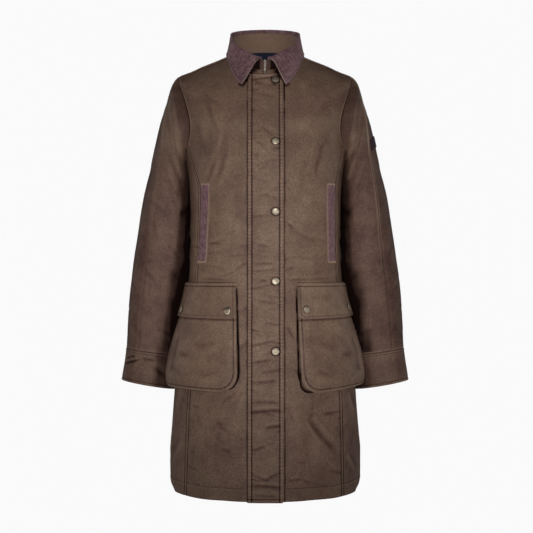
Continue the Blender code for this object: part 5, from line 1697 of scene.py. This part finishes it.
def makePocketFace(sideName):
    across, down = pocketGrid(36, 46)
    stood = pocketStand(down, across)
    edge = np.minimum(np.minimum(across, 1 - across), (1 - down) * 1.3)
    stood = stood - 3 * (1 - ease(edge / 0.12)) * ease(down * 2)
    plain = onPocket(sideName, across, down, stood)
    columns = runLengths(plain, 1) / mm
    fromEnd = (1 - down) * pocket["depth"]
    distance = np.minimum(np.minimum(columns, columns[:, -1:] - columns), fromEnd)
    # inside the lower corners the edge is the arc of the corner
    corner = pocket["corner"]
    fromSide = np.minimum(across, 1 - across) * pocket["width"] + cornerCut(corner, fromEnd)
    reach = corner - np.hypot(np.clip(corner - fromSide, 0, None), np.clip(corner - fromEnd, 0, None))
    distance = np.where((fromSide < corner) & (fromEnd < corner), reach, distance)
    relief, wearAndShading = edgeLines(distance, pocket["faceLines"])
    creased = creaseRelief(across * pocket["width"], down * pocket["depth"], pocket["creases"])
    # painted shade in the crease troughs, paler on their ridges
    toned = np.clip(0.16 * creased, -0.4, 0.2)
    for seed, (size, depth) in enumerate(pocket["sway"], 110):
        creased = creased + depth * cloudy(plain, size, seed)
    ripple = pucker((plain[..., 0] + plain[..., 2]) / mm, np.abs(distance - 3), 5, 8, 0.35, 113)
    below = down * pocket["depth"] - pocket["flapDepth"]
    wearAndShading = wearAndShading + toned - bell(below - 1.2, 1.6)  # painted shadow along the flap's edge
    lift = stood + relief + creased * ease(distance / 12) + ripple
    outer = onPocket(sideName, across, down, lift + bodyForm["cloth"])
    inner = onPocket(sideName, across, down, lift)
    clothPiece(f"pocket_face_{sideName}", outer, inner, wearAndShading)
    normals = outward(gridNormals(outer), outer)
    stitchRun("pockets", *pocketEdgePath(outer, normals, below[:, 0] > 0, 7))


def pocketEdgePath(points, normals, below, column):
    # down one side, along the bottom and up the other, a few columns in from the edge
    rows = np.nonzero(below)[0]
    bottom = len(points) - 11
    down = [(row, column) for row in rows if row < bottom]
    along = [(bottom, k) for k in range(column, points.shape[1] - column)]
    up = [(row, points.shape[1] - 1 - column) for row in reversed(rows) if row < bottom]
    route = np.array(down + along + up)
    return points[route[:, 0], route[:, 1]], normals[route[:, 0], route[:, 1]]


def makePocketGusset(sideName):
    # the folded strip that lets the pocket stand off, down one side, along the bottom and up the other
    corner = pocket["corner"] / pocket["depth"]
    turned = 1 - corner * (1 - np.sin(np.radians(np.linspace(0, 90, 26))))
    downs = np.concatenate([np.linspace(0.08, 1 - corner, 40)[:-1], turned])
    along = np.linspace(0, 1, 34)[1:-1]
    path = [(0, d) for d in downs] + [(s, 1) for s in along] + [(1, d) for d in downs[::-1]]
    across, down = np.array(path).T
    rise = np.linspace(0, 1, 15)[:, None]
    top = np.maximum(pocketStand(down, across) - 3.2 * ease(down * 2), pocket["gussetGap"] + 1.2)
    pleat = 4.5 * np.sin(math.pi * rise) ** 2 * ease(down * 1.5) + 0.5
    place = np.arange(len(path)) - len(downs) + 14
    sag = pocket["spill"][sideName] * bell(place, 11) * (1 - 0.75 * rise) * (1 + 0.35 * np.cos(9 * rise))
    height = pocket["gussetGap"] + (top - pocket["gussetGap"]) * rise
    outer, inner = (
        onPocket(sideName, across[None], down[None], height, pocket["overhang"] - 1.5 + pleat + deeper - sag)
        for deeper in (0, bodyForm["cloth"])
    )
    # painted shadow over the whole gusset, with painted highlights on two pleat edges near the sagging corner
    pale = 1.1 * bell(rise - 3 / 14, 0.06) + 0.8 * bell(rise - 8 / 14, 0.06)
    clothPiece(f"pocket_gusset_{sideName}", outer, inner, pale * bell(place, 9) - 1)


def flapLie(across, down):
    # how far a pocket flap's under side stands off the body, in millimetres
    rise = pocket["flapRise"] / pocket["depth"]
    onFace = bodyForm["cloth"] + bodyForm["layGap"]
    share = np.clip(1 + down / rise, 0, 1)
    stood = pocketStand(np.maximum(down, 0), across)
    return bodyForm["layGap"] + (stood + onFace - bodyForm["layGap"]) * share


def makePocketFlap(sideName):
    span, depth, deep = pocket["width"], pocket["depth"], pocket["flapDepth"]
    rise = pocket["flapRise"] / depth
    near, hinge = np.array(pocket["flapEdge"]), np.array(pocket["hingeRows"])
    even = np.linspace(near[-1], span - near[-1], 38)[1:-1]
    across = np.concatenate([near, even, span - near[::-1]]) / span
    fold = np.linspace(-rise, 0, 8)[:-1]
    face = np.concatenate([hinge, np.linspace(hinge[-1], deep - near[-1], 20)[1:-1], deep - near[::-1]])
    across, down = np.meshgrid(across, np.concatenate([fold, face / depth]))
    fromEnd = (deep / depth - down) * depth
    cut = cornerCut(pocket["flapCorner"], fromEnd)
    at = 0.5 + (across - 0.5) * (1 - 2 * (cut - pocket["flapOverhang"]) / span)
    distance = np.minimum(np.minimum(across, 1 - across) * span, fromEnd)
    relief, wearAndShading = edgeLines(distance, pocket["flapLines"])
    relief, wearAndShading = withLines(relief, wearAndShading, down * depth, pocket["hingeLines"])
    relief, wearAndShading = withLines(relief, wearAndShading, (down + rise) * depth, pocket["flapTopLines"])
    place = onPocket(sideName, at, down, flapLie(at, down))
    creased = creaseRelief(across * span, down * depth, pocket["flapCreases"])
    # painted shade in the crease troughs, paler on their ridges
    wearAndShading = wearAndShading + np.clip(0.16 * creased, -0.4, 0.2) + pocket["flapTone"][sideName] * ease(distance / 8)
    creased = creased + 0.6 * cloudy(place, 40, 120) + 0.4 * cloudy(place, 15, 121)
    lift = flapLie(at, down) + 0.4 * ease(distance / 10)
    relief = relief + creased * ease(distance / 10)
    outer = onPocket(sideName, at, down, lift + bodyForm["doubleCloth"] + relief)
    inner = onPocket(sideName, at, down, lift)
    clothPiece(f"pocket_flap_{sideName}", outer, inner, wearAndShading)
    normals = outward(gridNormals(outer), outer)
    hingeRow = len(fold) + 3
    for column in (7, -8):
        stitchRun("pockets", outer[hingeRow:-7, column], normals[hingeRow:-7, column])
    stitchRun("pockets", outer[-8, 7:-7], normals[-8, 7:-7])
    for row in (hingeRow, 1):
        stitchRun("pockets", outer[row], normals[row])


for sideName in sides:
    makePocketFace(sideName)
    makePocketGusset(sideName)
    makePocketFlap(sideName)
makeFronts()
print("pockets and fronts made")

# Press studs

studCap = {
    "radius": 8.1, "bright": 6.7, "rim": 0.7,
    "crown": [(0.35, 0.35), (0.6, 0.35), (1.0, 0.4), (1.4, 0.36), (1.6, 0.22), (1.6, 0.08)],  # inset, rise
    "neck": (2.2, 1.3),  # inset under the cap, length
    "pocketDown": {"left": 48, "right": 52}, "pocketAcross": {"inner": 0.09, "outer": 0.825},
    "darkening": -0.75,  # the cap stands clear of the cloth and its neck goes in
}


def selectFacing(cap, way):
    # selects the faces that point straight up (1) or straight down (-1)
    bpy.ops.mesh.select_all(action="DESELECT")
    edit = bmesh.from_edit_mesh(cap.data)
    for face in edit.faces:
        face.select = face.normal.z * way > 0.9
    bmesh.update_edit_mesh(cap.data)


def modelStudCap():
    bpy.ops.object.select_all(action="DESELECT")
    bpy.ops.mesh.primitive_cylinder_add(
        vertices=36, radius=studCap["radius"] * mm, depth=studCap["rim"] * mm,
        location=(0, 0, studCap["rim"] / 2 * mm),
    )
    cap = bpy.context.object
    bpy.ops.object.mode_set(mode="EDIT")
    selectFacing(cap, 1)
    for inset, rise in studCap["crown"]:
        bpy.ops.mesh.inset(thickness=inset * mm)
        bpy.ops.transform.translate(value=(0, 0, rise * mm))
    selectFacing(cap, -1)
    inset, length = studCap["neck"]
    bpy.ops.mesh.inset(thickness=inset * mm)
    bpy.ops.mesh.extrude_region_move(TRANSFORM_OT_translate={"value": (0, 0, -length * mm)})
    bpy.ops.object.mode_set(mode="OBJECT")
    bevel = cap.modifiers.new("soft_edges", "BEVEL")
    bevel.width, bevel.segments, bevel.limit_method = 0.25 * mm, 2, "ANGLE"
    bevel.angle_limit = math.radians(35)
    bpy.ops.object.modifier_apply(modifier=bevel.name)
    bpy.ops.object.transform_apply(location=True, rotation=False, scale=False)
    for material in ("pewter", "tarnish"):
        cap.data.materials.append(finish[material])
    for face in cap.data.polygons:  # the rim faces take the dark pewter: painted shade round the cap's edge
        face.material_index = int(face.center.xy.length > studCap["bright"] * mm)
    return cap


def studSeats():
    seats = {}
    for count, height in enumerate(flap["studHeights"], 1):
        height = np.array([height * mm])
        angle = angleAtWidth(flap["studAcross"], height)
        relief, wearAndShading, lift = flapSurface(angle, height)
        out = formNormal(angle, height)[0]
        stood = bodyForm["seamGap"] + flap["gap"] + lift + bodyForm["doubleCloth"] + relief * 0.5
        seats[f"flap_stud_{count}"] = (onBody(angle, height, stood)[0], out)
    for sideName, side in sides.items():
        down = studCap["pocketDown"][sideName] / pocket["depth"]
        for place, across in studCap["pocketAcross"].items():
            a, d = np.meshgrid([across - 0.04, across, across + 0.04], [down - 0.03, down, down + 0.03])
            near = onPocket(sideName, a, d, flapLie(a, d) + 0.4 + bodyForm["doubleCloth"])
            out = np.cross(near[2, 1] - near[0, 1], near[1, 2] - near[1, 0]) * side
            seats[f"pocket_stud_{place}_{sideName}"] = (near[1, 1], out)
    return seats


def makeStuds():
    cap = modelStudCap()
    for node, (place, out) in studSeats().items():
        out = Vector(out).normalized()
        seat = seatMatrix(Vector(place) - out * studCap["darkening"] * mm, out)
        made = placedCopies(f"cap_{node}", cap, [seat], [finish["pewter"], finish["tarnish"]])
        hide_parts(node)
    bpy.data.objects.remove(cap)


makeStuds()
print("studs made")

for group, thread in (("body", "thread"), ("sleeves", "thread"), ("flap", "thread"), ("pockets", "thread"),
                      ("collar", "thread"), ("welts", "tanThread"), ("edging", "creamThread")):
    makeStitches(group, thread)
print("stitching made")
